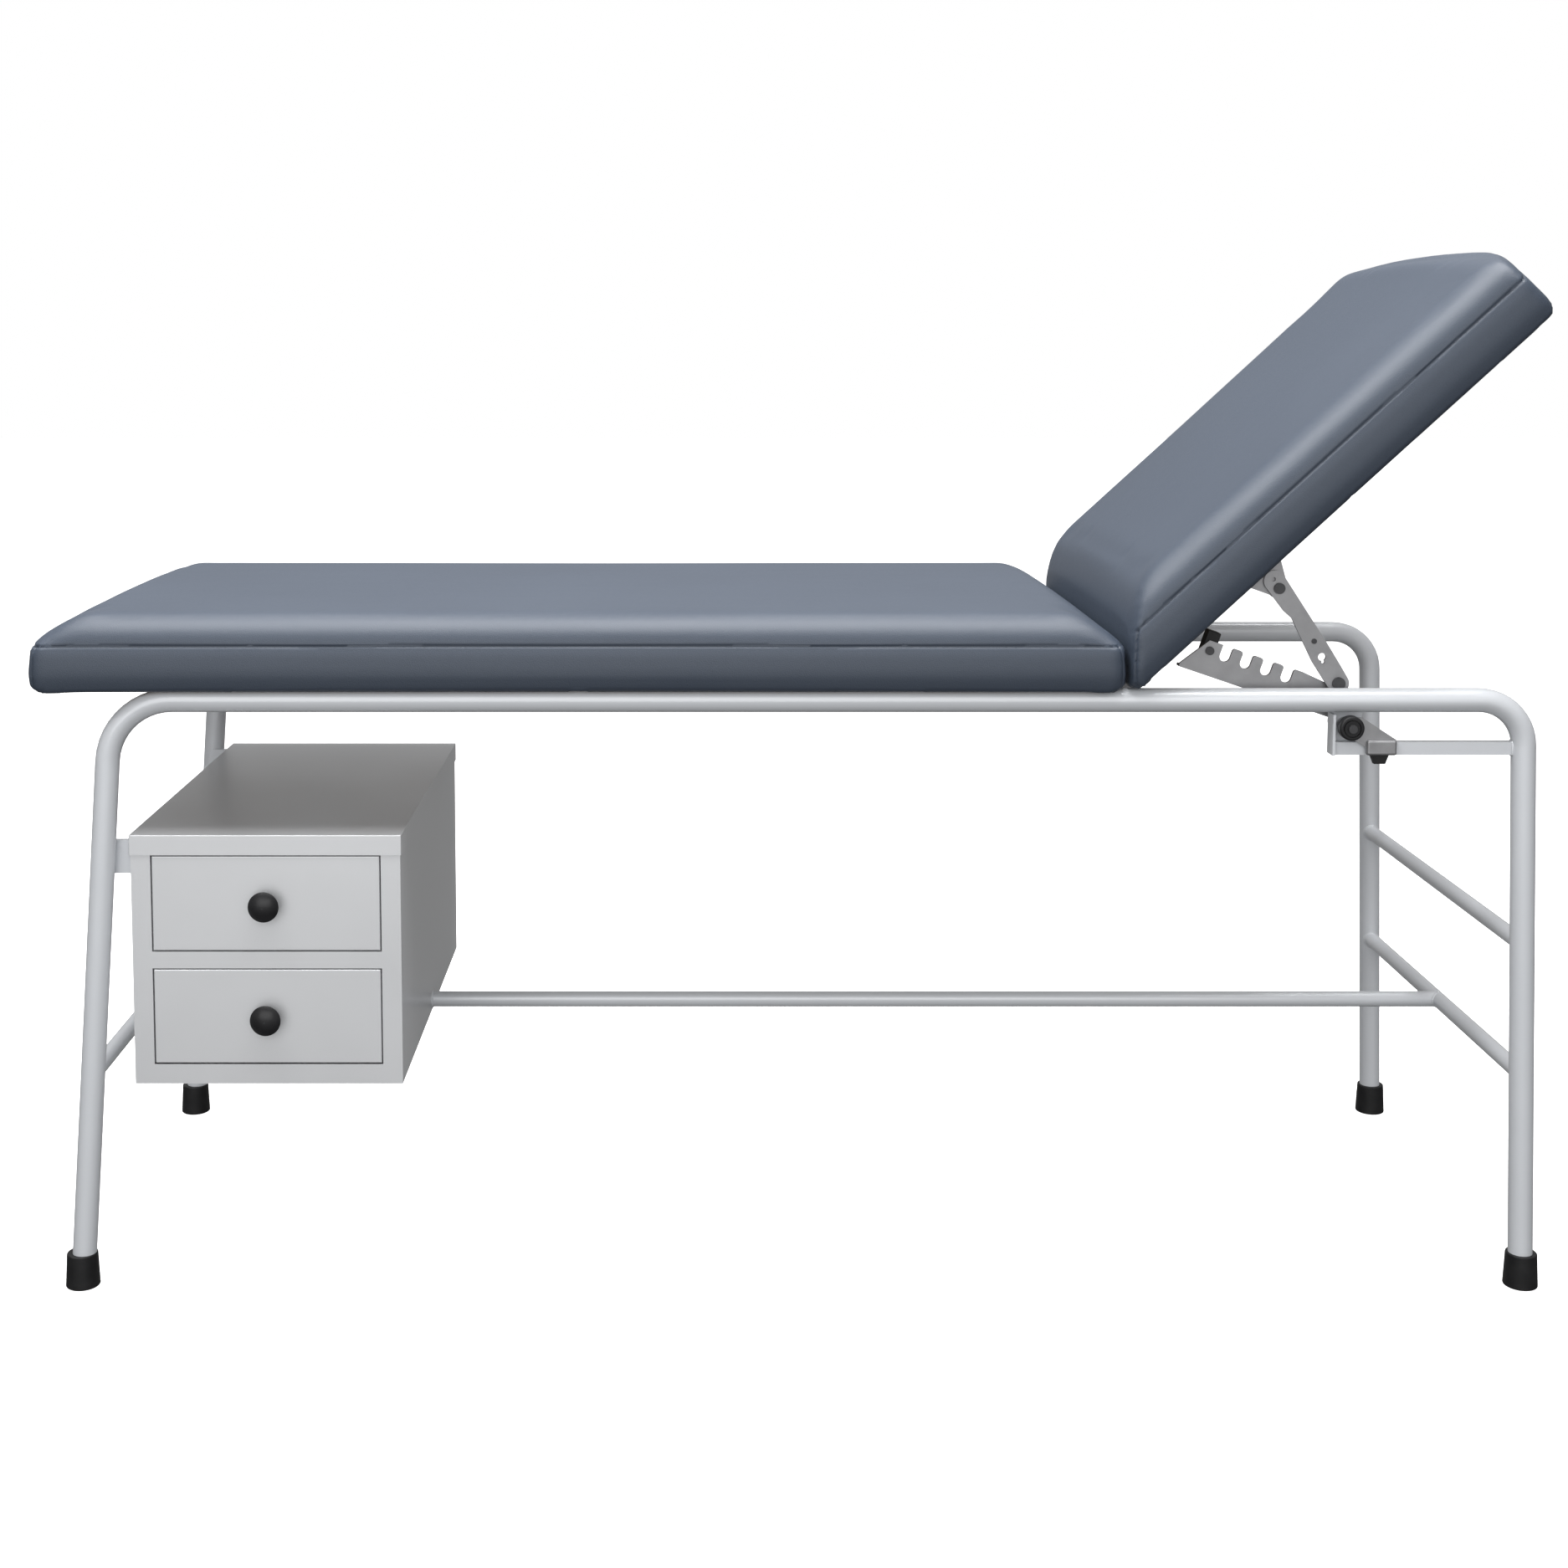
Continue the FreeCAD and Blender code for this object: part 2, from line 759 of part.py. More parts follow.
def seat_place(shape):
    """A seat shape moved from its own run to the table."""
    return moved(shape, foot_end_x, 0, 0)


seat_board = board(seat_length, 0, pad_bottom, seat_place)
foot_end = PadEnd(0, pad_corner_radius, pad_end_rise, pad_end_fullness)
joint_end = PadEnd(0, pad_joint_radius, pad_end_rise, pad_end_fullness)
seat_pad = cushion(seat_length, foot_end, joint_end, pad_bottom, 0.0, seat_point)
seat_pad = seat_pad.cut(seat_board)
save("seat_pad", seat_pad)

def wood_screw(x, y, under, top):
    """A screw up through a plate between two heights into the board above it."""
    shank = rod(wood_screw_radius, V(x, y, under), V(x, y, top + wood_screw_length))
    head = rod(wood_screw_head_radius, V(x, y, under - wood_screw_head_height), V(x, y, under))
    return shank.fuse(head).removeSplitter()


# Seat tabs: strips welded inside the rails, each with a screw up into the board
tabs = []
tab_screws = []
tab_top = pad_bottom
for share in tab_places:
    tab_x = foot_end_x + seat_length * share
    inner = half_frame - tube_radius
    tab = box(
        tab_x - tab_length / 2,
        tab_x + tab_length / 2,
        -half_frame,
        -inner + tab_reach,
        tab_top - tab_thickness,
        tab_top,
    )
    screw_y = -inner + tab_reach * tab_screw_share
    under = tab_top - tab_thickness
    screw = wood_screw(tab_x, screw_y, under, tab_top)
    tab = max(tab.cut(near_solid).cut(screw).Solids, key=lambda solid: solid.CenterOfMass.y)
    tabs += [tab, mirrored(tab)]
    tab_screws += [screw, mirrored(screw)]
tab_screws = Part.makeCompound(tab_screws)
save("seat_tabs", Part.makeCompound(tabs))
save("seat_screws", tab_screws)
save("seat_board", seat_board.cut(tab_screws))

# Backrest: built lying along its own run from the hinge axis, then raised about that axis
lift = FreeCAD.Rotation(V(0, -1, 0), backrest_angle)
rise = math.radians(backrest_angle)
low_end = -hinge_from_seat + pad_joint_gap
back_start = low_end / math.cos(rise)
back_lean = math.tan(rise)


def back_point(u, v, w):
    """A point of the raised backrest from its run, width and height over the hinge axis."""
    return lift.multVec(V(u, v, w)) + V(hinge_x, 0, hinge_z)


def back_place(shape):
    """A shape in the backrest's own frame, raised to its place."""
    copy = shape.copy()
    copy.rotate(V(0, 0, 0), V(0, -1, 0), backrest_angle)
    return moved(copy, hinge_x, 0, hinge_z)


def back_run_point(u, v, w):
    """A point of the backrest whose run starts at its lower end."""
    return back_point(u + back_start, v, w)


backrest_run = backrest_length - back_start
low_pad_end = PadEnd(0, pad_joint_radius, backrest_end_rise, backrest_end_fullness)
head_pad_end = PadEnd(backrest_bow, pad_corner_radius, backrest_head_rise, backrest_head_fullness)
backrest_pad = cushion(
    backrest_run, low_pad_end, head_pad_end, hinge_to_pad, back_lean, back_run_point
)
board_start = hinge_to_pad * back_lean + board_thickness * back_lean
backrest_board = board(backrest_length - backrest_bow, board_start, hinge_to_pad, back_place)
backrest_pad = backrest_pad.cut(backrest_board)
save("backrest_pad", backrest_pad)


# Backrest hinge: lugs on the cross tube, leaves under the board, a pin through each pair
def hinge_side(way):
    """The lug, leaf, pin and leaf screws of one side; way is -1 for the near side."""
    lug_out = way * hinge_spread / 2
    lug_in = lug_out - way * hinge_lug_thickness
    ear_out = lug_in - way * hinge_play
    ear_in = ear_out - way * hinge_ear_thickness
    lug_y = sorted((lug_out, lug_in))
    ear_y = sorted((ear_out, ear_in))
    cross = rod_y(cross_radius, hinge_cross_x, -half_frame, half_frame, rail_height)
    web = box(
        hinge_cross_x,
        hinge_x,
        lug_y[0],
        lug_y[1],
        hinge_z - hinge_web_half,
        hinge_z + hinge_web_half,
    )
    eye = rod_y(hinge_lug_radius, hinge_x, lug_y[0], lug_y[1], hinge_z)
    lug = eye.fuse(web).removeSplitter().cut(cross)
    pin_y = sorted((lug_out + way * hinge_pin_end, ear_in - way * hinge_pin_end))
    pin = rod_y(hinge_pin_radius, hinge_x, pin_y[0], pin_y[1], hinge_z)
    head_y = sorted((lug_out, lug_out + way * hinge_pin_head_height))
    pin = pin.fuse(rod_y(hinge_pin_head_radius, hinge_x, head_y[0], head_y[1], hinge_z))
    lug = max(lug.cut(pin).Solids, key=lambda solid: solid.Volume)
    leaf_top = hinge_to_pad
    leaf_y = sorted((ear_out, ear_out - way * hinge_leaf_width))
    leaf_end = hinge_leaf_start + hinge_leaf_length
    leaf = box(
        hinge_leaf_start,
        leaf_end,
        leaf_y[0],
        leaf_y[1],
        leaf_top - hinge_leaf_thickness,
        leaf_top,
    )
    ear = plate(
        [
            [(0, -hinge_ear_radius), (hinge_ear_run, leaf_top - hinge_leaf_thickness)],
            [(hinge_ear_run, leaf_top - hinge_leaf_thickness), (hinge_ear_run, leaf_top)],
            [(hinge_ear_run, leaf_top), (hinge_leaf_start, leaf_top)],
            [(hinge_leaf_start, leaf_top), (0, hinge_ear_radius)],
            [(0, hinge_ear_radius), (-hinge_ear_radius, 0), (0, -hinge_ear_radius)],
        ],
        ear_y[0],
        ear_y[1],
    )
    bore = hinge_pin_radius + running_clearance
    hole = rod_y(bore, 0, ear_y[0] - cut_over, ear_y[1] + cut_over, 0)
    leaf = leaf.fuse(ear).removeSplitter().cut(hole)
    screws = []
    for share in hinge_screw_places:
        screw_u = hinge_leaf_start + hinge_leaf_length * share
        screws.append(wood_screw(screw_u, sum(leaf_y) / 2, leaf_top - hinge_leaf_thickness, leaf_top))
    return lug, pin.removeSplitter(), leaf, screws


back_screws = []
hinge_pins = []
for side, way in (("near", -1), ("far", 1)):
    lug, pin, leaf, screws = hinge_side(way)
    save("hinge_lug_" + side, lug)
    hinge_pins.append(pin)
    for screw in screws:
        leaf = leaf.cut(screw)
    save("hinge_leaf_" + side, back_place(leaf))
    back_screws += screws
save("hinge_pins", Part.makeCompound(hinge_pins))

# Ratchet stay: a bracket under the backrest's board carries the strut
strut_back = strut_plane + strut_thickness
stay_front = strut_back + stay_play
stay_back = stay_front + stay_bracket_thickness
pivot_w = hinge_to_pad - strut_pivot_drop
ear_low = pivot_w - strut_half_width
stay_ear = plate(
    [
        [
            (strut_pivot_along - strut_half_width, pivot_w),
            (strut_pivot_along, ear_low),
            (strut_pivot_along + strut_half_width, pivot_w),
        ],
        [
            (strut_pivot_along + strut_half_width, pivot_w),
            (strut_pivot_along + stay_bracket_half_length, hinge_to_pad),
        ],
        [
            (strut_pivot_along + stay_bracket_half_length, hinge_to_pad),
            (strut_pivot_along - stay_bracket_half_length, hinge_to_pad),
        ],
        [
            (strut_pivot_along - stay_bracket_half_length, hinge_to_pad),
            (strut_pivot_along - strut_half_width, pivot_w),
        ],
    ],
    stay_front,
    stay_back,
)
stay_foot = box(
    strut_pivot_along - stay_bracket_half_length,
    strut_pivot_along + stay_bracket_half_length,
    stay_front,
    stay_front + stay_bracket_foot,
    hinge_to_pad - stay_bracket_thickness,
    hinge_to_pad,
)
stay_bracket = stay_ear.fuse(stay_foot).removeSplitter()
bolt_front = strut_plane - pivot_bolt_head_height
strut_bolt = rod_y(pivot_bolt_radius, strut_pivot_along, strut_plane - cut_over, stay_back, pivot_w)
strut_bolt = strut_bolt.fuse(
    rod_y(
        pivot_bolt_head_radius,
        strut_pivot_along,
        bolt_front - running_clearance,
        strut_plane - running_clearance,
        pivot_w,
    )
).removeSplitter()
stay_bracket = stay_bracket.cut(strut_bolt)
for way in (-1, 1):
    screw = wood_screw(
        strut_pivot_along + way * stay_bracket_half_length * stay_screw_spread,
        stay_front + stay_bracket_foot * stay_screw_setback,
        hinge_to_pad - stay_bracket_thickness,
        hinge_to_pad,
    )
    stay_bracket = stay_bracket.cut(screw)
    back_screws.append(screw)
back_screws = Part.makeCompound([back_place(screw) for screw in back_screws])
save("stay_bracket", back_place(stay_bracket))
save("strut_bolt", back_place(strut_bolt))
save("backrest_screws", back_screws)
save("backrest_board", backrest_board.cut(back_screws))

# Strut: a kinked plate, laid along X from its pivot and then turned to its angle
half = strut_half_width
waist_start = strut_waist_place - strut_waist_run
waist_end = strut_waist_place + strut_waist_run
strut_flat = plate(
    [
        [(-strut_head_start, -half), (-strut_head_end, 0), (-strut_head_start, half)],
        [(-strut_head_start, half), (strut_swell_start, half + strut_swell)],
        [
            (strut_swell_start, half + strut_swell),
            (strut_swell_middle, half + strut_swell * 0.75),
            (strut_length, half),
        ],
        [(strut_length, half), (strut_length + half, 0), (strut_length, -half)],
        [(strut_length, -half), (strut_foot_start, -half)],
        [(strut_foot_start, -half), (waist_end, -strut_waist)],
        [(waist_end, -strut_waist), (waist_start, -strut_shoulder)],
        [(waist_start, -strut_shoulder), (-strut_head_start, -half)],
    ],
    strut_plane,
    strut_back,
)


def strut_hole(radius, x, z):
    """What is cut through the strut for a hole at a place along it."""
    return rod_y(radius, x, strut_plane - cut_over, strut_back + cut_over, z)


slot_tip = strut_slot_place + strut_slot_radius + strut_slot_tip_radius / 2
strut_cuts = [
    strut_hole(pivot_bolt_radius + running_clearance, 0, 0),
    strut_hole(strut_hole_radius, -strut_hole_place, 0),
    strut_hole(strut_slot_radius, strut_slot_place, 0),
    strut_hole(strut_slot_tip_radius, slot_tip, -strut_slot_tip_radius),
]
rivet_front = strut_plane - strut_rivet_head
strut_rivet = rod_y(strut_rivet_radius, strut_rivet_place, rivet_front, strut_back, strut_rivet_offset)
pin_end = rack_front - catch_pin_gap
pin_front = strut_plane - catch_pin_head_height
catch_pin = rod_y(catch_pin_radius, strut_length, pin_front, pin_end, 0)
catch_pin = catch_pin.fuse(rod_y(catch_pin_head_radius, strut_length, pin_front, strut_plane, 0))
catch_pin = catch_pin.removeSplitter()
for cut in strut_cuts + [strut_rivet, catch_pin]:
    strut_flat = strut_flat.cut(cut)


def strut_place(shape):
    """A shape laid along X from the strut's pivot, turned and moved to its place."""
    copy = shape.copy()
    copy.rotate(V(0, 0, 0), V(0, -1, 0), strut_angle)
    pivot = back_point(strut_pivot_along, 0, pivot_w)
    return moved(copy, pivot.x, 0, pivot.z)


save("support_strut", strut_place(strut_flat))
save("strut_rivet", strut_place(strut_rivet))
save("catch_pin", strut_place(catch_pin))

# Rack: a comb that turns on the latch axle, laid along X from its bolt to the axle
notch_half = rack_notch_width / 2
tip_level = rack_notch_depth + rack_body_height
notch_floor = rack_body_height
bolt_level = rack_body_height + rack_bolt_rise
rack_end = rack_pivot_to_bolt
heel_start = rack_end - rack_lobe_radius
heel_end = rack_end + rack_lobe_radius
heel_level = tip_level - rack_heel_drop
comb_end = rack_end - rack_heel_run
last_notch = rack_first_notch + (rack_notches - 1) * rack_notch_pitch
last_land = comb_end - last_notch - notch_half
nose = -rack_start + rack_nose_run
comb = plate(
    [
        [(-rack_start, 0), (heel_start, 0)],
        [(heel_start, 0), (rack_end, -rack_lobe_radius), (heel_end, 0)],
        [(heel_end, 0), (heel_start, heel_level)],
        [(heel_start, heel_level), (comb_end, tip_level)],
        [(comb_end, tip_level), (nose, tip_level)],
        [(nose, tip_level), (-rack_start, rack_nose_height)],
        [(-rack_start, rack_nose_height), (-rack_start, 0)],
    ],
    rack_front,
    rack_back,
)
for index in range(rack_notches):
    place = rack_first_notch + index * rack_notch_pitch
    round_level = notch_floor + notch_half
    slot = rod_y(notch_half, place, rack_front - cut_over, rack_back + cut_over, round_level)
    mouth = box(
        place - notch_half,
        place + notch_half,
        rack_front - cut_over,
        rack_back + cut_over,
        round_level,
        tip_level + cut_over,
    )
    comb = comb.cut(slot.fuse(mouth))
tips = []
for edge in comb.Edges:
    middle = edge.CenterOfMass
    along_y = abs(edge.tangentAt(edge.FirstParameter).y) > 0.9
    in_comb = rack_first_notch < middle.x < rack_first_notch + rack_notch_pitch * rack_notches
    if along_y and in_comb and abs(middle.z - tip_level) < same_place:
        tips.append(edge)
narrowest_tooth = min(rack_notch_pitch - rack_notch_width, last_land)
comb = comb.makeFillet(min(rack_tip_radius, narrowest_tooth * 0.4), tips)
rack_flange = box(
    -rack_start,
    rack_end - 2 * rack_lobe_radius,
    rack_front,
    rack_front + rack_flange_width,
    0,
    rack_flange_thickness,
)
comb = comb.fuse(rack_flange).removeSplitter()
axle_bore = latch_axle_radius + running_clearance
axle_hole = rod_y(axle_bore, rack_end, rack_front - cut_over, rack_back + cut_over, 0)
comb = comb.cut(axle_hole)
bolt_head = rack_front - rack_bolt_head_height
rack_bolt = rod_y(rack_bolt_radius, 0, bolt_head, rack_back + buffer_depth / 2, bolt_level)
rack_bolt = rack_bolt.fuse(rod_y(rack_bolt_head_radius, 0, bolt_head, rack_front, bolt_level))
rack_bolt = rack_bolt.removeSplitter()
buffer_top = bolt_level + buffer_height
buffer = box(
    -buffer_width / 2,
    buffer_width / 2,
    rack_back,
    rack_back + buffer_depth,
    bolt_level - buffer_width / 2,
    buffer_top,
)
top_edges = [e for e in buffer.Edges if e.CenterOfMass.z > buffer_top - same_place]
buffer = buffer.makeFillet(buffer_fillet, top_edges).cut(rack_bolt)
comb = comb.cut(rack_bolt)


def rack_place(shape):
    """A shape laid along X from the rack's bolt, turned about the latch axle to its place."""
    copy = moved(shape, -rack_end, 0, 0)
    copy.rotate(V(0, 0, 0), V(0, -1, 0), -rack_slope)
    return moved(copy, latch_x, 0, latch_z)


save("ratchet_rack", rack_place(comb))
save("rack_bolt", rack_place(rack_bolt))
save("rack_buffer", rack_place(buffer))

# Latch: a plate under the near rail, a bar to the head-end leg, the axle, lever and knob
latch_left = latch_x - latch_plate_left
latch_plate = box(
    latch_left,
    latch_x + latch_plate_right,
    latch_plate_front,
    latch_plate_plane,
    latch_plate_low,
    rail_height,
)
latch_plate = max(latch_plate.cut(near_solid).Solids, key=lambda solid: solid.Volume)
latch_flange = box(
    latch_left,
    latch_left + latch_flange_thickness,
    latch_plate_front - latch_flange_depth,
    latch_plate_front,
    latch_plate_low,
    rail_height - tube_radius - latch_flange_gap,
)
latch_plate = latch_plate.fuse(latch_flange).removeSplitter()
latch_bar = box(
    latch_left + latch_flange_thickness,
    head_leg_x,
    latch_bar_front,
    latch_plate_front,
    latch_plate_low,
    latch_plate_low + latch_bar_height,
).cut(near_solid)
latch_bar = min(latch_bar.Solids, key=lambda solid: solid.CenterOfMass.x)
knob_back = lever_front - lever_play
knob_front = knob_back - latch_knob_depth
axle_front = knob_front - axle_end
latch_axle = rod_y(latch_axle_radius, latch_x, axle_front, rack_back + axle_inner_end, latch_z)
latch_plate = latch_plate.cut(latch_axle)
latch_bush = rod_y(bush_radius, latch_x, lever_back + lever_play, latch_plate_front, latch_z)
latch_bush = latch_bush.cut(latch_axle)
save("latch_plate", latch_plate)
save("latch_bar", latch_bar)
save("latch_axle", latch_axle)
save("latch_bush", latch_bush)

knob_disc = rod_y(latch_knob_radius, latch_x, knob_front, knob_back, latch_z)
knob_rims = [e for e in knob_disc.Edges if isinstance(e.Curve, Part.Circle)]
knob_disc = knob_disc.makeFillet(latch_knob_fillet, knob_rims)
dish_back = knob_front + latch_knob_dish_depth
dish = rod_y(latch_knob_dish_radius, latch_x, knob_front - cut_over, dish_back, latch_z)
hub = rod_y(latch_knob_hub_radius, latch_x, knob_front, dish_back, latch_z)
latch_knob = knob_disc.cut(dish.cut(hub)).cut(latch_axle)
save("latch_knob", latch_knob)

lever_hub = rod_y(lever_hub_radius, latch_x, lever_front, lever_back, latch_z)
grip_left = latch_x + lever_reach - lever_grip_length
grip_right = latch_x + lever_reach
grip_low = latch_z - lever_drop
grip_top = grip_low + lever_grip_height
grip_middle = (grip_low + grip_top) / 2
arm_start = (latch_x, latch_z + lever_hub_radius)
arm_neck = (latch_x + lever_neck_run, latch_z + lever_neck_rise)
arm_heel = (latch_x - lever_heel_run, latch_z - lever_neck_rise)
lever_arm = plate(
    [
        [arm_start, arm_neck],
        [arm_neck, (grip_right, grip_top)],
        [(grip_right, grip_top), (grip_right, grip_middle)],
        [(grip_right, grip_middle), (grip_left, grip_middle)],
        [(grip_left, grip_middle), arm_heel],
        [arm_heel, arm_start],
    ],
    lever_front,
    lever_back,
)
lever_hole = rod_y(axle_bore, latch_x, lever_front - cut_over, lever_back + cut_over, latch_z)
grip_front = lever_front - lever_grip_depth
grip = box(grip_left, grip_right, grip_front, lever_back, grip_low, grip_top)
grip = grip.makeFillet(lever_grip_fillet, grip.Edges)
release_lever = lever_hub.fuse(lever_arm).fuse(grip).removeSplitter().cut(lever_hole)
tip_low = grip_low - lever_tip_height
tip_high = grip_low + lever_tip_lap
tip_left = grip_left + lever_tip_left_inset
tip_right = grip_right - lever_tip_right_inset
lever_tip = plate(
    [
        [(tip_left, tip_high), (tip_left + lever_tip_slant, tip_low)],
        [(tip_left + lever_tip_slant, tip_low), (tip_right - lever_tip_slant, tip_low)],
        [(tip_right - lever_tip_slant, tip_low), (tip_right, tip_high)],
        [(tip_right, tip_high), (tip_left, tip_high)],
    ],
    grip_front + lever_tip_wall,
    lever_back,
)
lever_tip = lever_tip.cut(release_lever)
save("release_lever", release_lever)
save("lever_tip", max(lever_tip.Solids, key=lambda solid: solid.Volume))
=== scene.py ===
import json
import logging
import math
from dataclasses import dataclass
from enum import Enum
from typing import Sequence

import bpy
from mathutils import Matrix, Vector


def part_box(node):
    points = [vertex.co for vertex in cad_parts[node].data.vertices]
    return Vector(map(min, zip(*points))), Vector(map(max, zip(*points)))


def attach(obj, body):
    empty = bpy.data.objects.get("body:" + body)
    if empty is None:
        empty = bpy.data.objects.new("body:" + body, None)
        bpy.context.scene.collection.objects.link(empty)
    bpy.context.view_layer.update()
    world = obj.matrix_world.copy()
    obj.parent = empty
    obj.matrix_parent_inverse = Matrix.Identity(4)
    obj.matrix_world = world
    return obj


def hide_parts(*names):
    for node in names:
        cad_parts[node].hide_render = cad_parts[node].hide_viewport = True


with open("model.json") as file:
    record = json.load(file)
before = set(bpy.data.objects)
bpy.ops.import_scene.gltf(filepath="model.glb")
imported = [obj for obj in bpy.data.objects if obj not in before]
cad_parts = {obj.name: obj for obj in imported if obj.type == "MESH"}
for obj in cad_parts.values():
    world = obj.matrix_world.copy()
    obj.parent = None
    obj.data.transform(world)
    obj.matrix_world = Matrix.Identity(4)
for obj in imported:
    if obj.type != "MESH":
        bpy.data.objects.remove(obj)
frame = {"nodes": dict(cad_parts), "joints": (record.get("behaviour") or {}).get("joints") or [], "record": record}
log = logging.getLogger("examination_table")
Colour = tuple[float, float, float]
Triple = tuple[float, float, float]


class Value:
    """A number that runs through a material's nodes, with plain arithmetic."""

    def __init__(self, graph: "Graph", socket: bpy.types.NodeSocket) -> None:
        """Keeps the socket that the number comes from."""
        self.graph = graph
        self.socket = socket

    def _join(self, operation: str, first: "Value | float", second: "Value | float") -> "Value":
        """One Math node on two numbers.

        Args:
            operation: the node's operation.
            first: the left side.
            second: the right side.

        Returns:
            The node's result.
        """
        node = self.graph.node("ShaderNodeMath", {"operation": operation}, {0: first, 1: second})
        return Value(self.graph, node.outputs[0])

    def __add__(self, other: "Value | float") -> "Value":
        """The sum."""
        return self._join("ADD", self, other)

    def __radd__(self, other: float) -> "Value":
        """The sum, the number first."""
        return self._join("ADD", other, self)

    def __sub__(self, other: "Value | float") -> "Value":
        """The difference."""
        return self._join("SUBTRACT", self, other)

    def __rsub__(self, other: float) -> "Value":
        """The difference, the number first."""
        return self._join("SUBTRACT", other, self)

    def __mul__(self, other: "Value | float") -> "Value":
        """The product."""
        return self._join("MULTIPLY", self, other)

    def __rmul__(self, other: float) -> "Value":
        """The product, the number first."""
        return self._join("MULTIPLY", other, self)

    def __pow__(self, other: "Value | float") -> "Value":
        """The power."""
        return self._join("POWER", self, other)

    def at_least(self, other: "Value | float") -> "Value":
        """The greater of the two."""
        return self._join("MAXIMUM", self, other)


class Graph:
    """The nodes of one material or of the surroundings."""

    def __init__(self, tree: bpy.types.NodeTree) -> None:
        """Starts with an empty tree.

        Args:
            tree: the node tree to fill.
        """
        self.tree = tree
        tree.nodes.clear()

    def node(self, kind: str, settings: dict | None = None, values: dict | None = None) -> bpy.types.Node:
        """Adds a node.

        Args:
            kind: the node's type.
            settings: its own settings, set first.
            values: numbers, colours or links for its sockets, by name or number.

        Returns:
            The new node.
        """
        made = self.tree.nodes.new(kind)
        for key, value in (settings or {}).items():
            setattr(made, key, value)
        for key, value in (values or {}).items():
            self.feed(made.inputs[key], value)
        return made

    def feed(self, socket: bpy.types.NodeSocket, value: object) -> None:
        """Links or sets one socket.

        Args:
            socket: the socket to fill.
            value: a Value, another socket, a number or a colour.
        """
        if isinstance(value, Value):
            value = value.socket
        if isinstance(value, bpy.types.NodeSocket):
            self.tree.links.new(value, socket)
        elif isinstance(value, tuple) and len(value) == 3 and socket.type == "RGBA":
            socket.default_value = (*value, 1.0)
        else:
            socket.default_value = value


class Surface(Graph):
    """The nodes of one material, round a single surface shader."""

    def __init__(self, name: str) -> None:
        """Starts a material.

        Args:
            name: the material's name.
        """
        self.material = bpy.data.materials.new(name)
        self.material.use_nodes = True
        super().__init__(self.material.node_tree)
        self.shader = self.node("ShaderNodeBsdfPrincipled")
        self.node("ShaderNodeOutputMaterial", None, {0: self.shader.outputs[0]})
        self.place = self.node("ShaderNodeTexCoord").outputs["Object"]

    def stretch(self, scale: Sequence[float]) -> bpy.types.NodeSocket:
        """Object coordinates scaled along each axis.

        Args:
            scale: the scale along X, Y and Z.

        Returns:
            The scaled coordinates.
        """
        values = {"Vector": self.place, "Scale": tuple(scale)}
        return self.node("ShaderNodeMapping", None, values).outputs[0]

    def noise(self, scale: float, detail: float = 3.0, place: bpy.types.NodeSocket | None = None) -> Value:
        """Soft noise between 0 and 1.

        Args:
            scale: how many blotches to a metre.
            detail: how many finer layers it has.
            place: the coordinates, or None for the piece's own.

        Returns:
            The noise.
        """
        values = {"Vector": place or self.place, "Scale": scale, "Detail": detail}
        return Value(self, self.node("ShaderNodeTexNoise", None, values).outputs["Fac"])

    def cells(self, scale: float) -> Value:
        """Distance to the nearest cell centre of a pebbled grain.

        Args:
            scale: how many cells to a metre.

        Returns:
            The distance.
        """
        values = {"Vector": self.place, "Scale": scale}
        return Value(self, self.node("ShaderNodeTexVoronoi", None, values).outputs["Distance"])

    def blend(self, share: Value, low: object, high: object) -> bpy.types.NodeSocket:
        """A colour between two.

        Args:
            share: 0 for the first colour and 1 for the second.
            low: the first colour.
            high: the second colour.

        Returns:
            The mixed colour.
        """
        made = self.node("ShaderNodeMix", {"data_type": "RGBA"})
        self.feed(made.inputs["Factor"], share)
        self.feed(made.inputs[6], low)
        self.feed(made.inputs[7], high)
        return made.outputs[2]

    def relief(self, height: Value, strength: float, depth: float) -> None:
        """Feeds a height to the surface's normal.

        Args:
            height: the height, from 0 to 1.
            strength: how much of it shows.
            depth: the height of 1, in metres.
        """
        values = {"Strength": strength, "Distance": depth, "Height": height}
        bump = self.node("ShaderNodeBump", None, values)
        self.feed(self.shader.inputs["Normal"], bump.outputs["Normal"])

    def surface(self, **values: object) -> None:
        """Sets or links sockets of the shader, with underscores for spaces."""
        for key, value in values.items():
            self.feed(self.shader.inputs[key.replace("_", " ")], value)


@dataclass(frozen=True)
class Paint:
    """Sprayed enamel on steel, with a faint orange-peel and a few duller patches."""

    name: str
    base: Colour
    tint: Colour
    roughness: float
    peel: float
    peel_scale: float
    coat: float
    flake: float
    patch_scale: float = 7.0
    patch_detail: float = 4.0
    patch_dulling: float = 0.1
    peel_detail: float = 2.0
    peel_depth: float = 0.0004
    coat_roughness: float = 0.12

    def build(self) -> bpy.types.Material:
        """Mixes the enamel.

        Returns:
            The material.
        """
        graph = Surface(self.name)
        patches = graph.noise(self.patch_scale, self.patch_detail)
        fine = graph.noise(self.peel_scale, self.peel_detail)
        graph.surface(
            Base_Color=graph.blend(patches, self.base, self.tint),
            Roughness=self.roughness + self.patch_dulling * patches,
            Metallic=self.flake,
            Coat_Weight=self.coat,
            Coat_Roughness=self.coat_roughness,
        )
        graph.relief(fine, self.peel, self.peel_depth)
        return graph.material


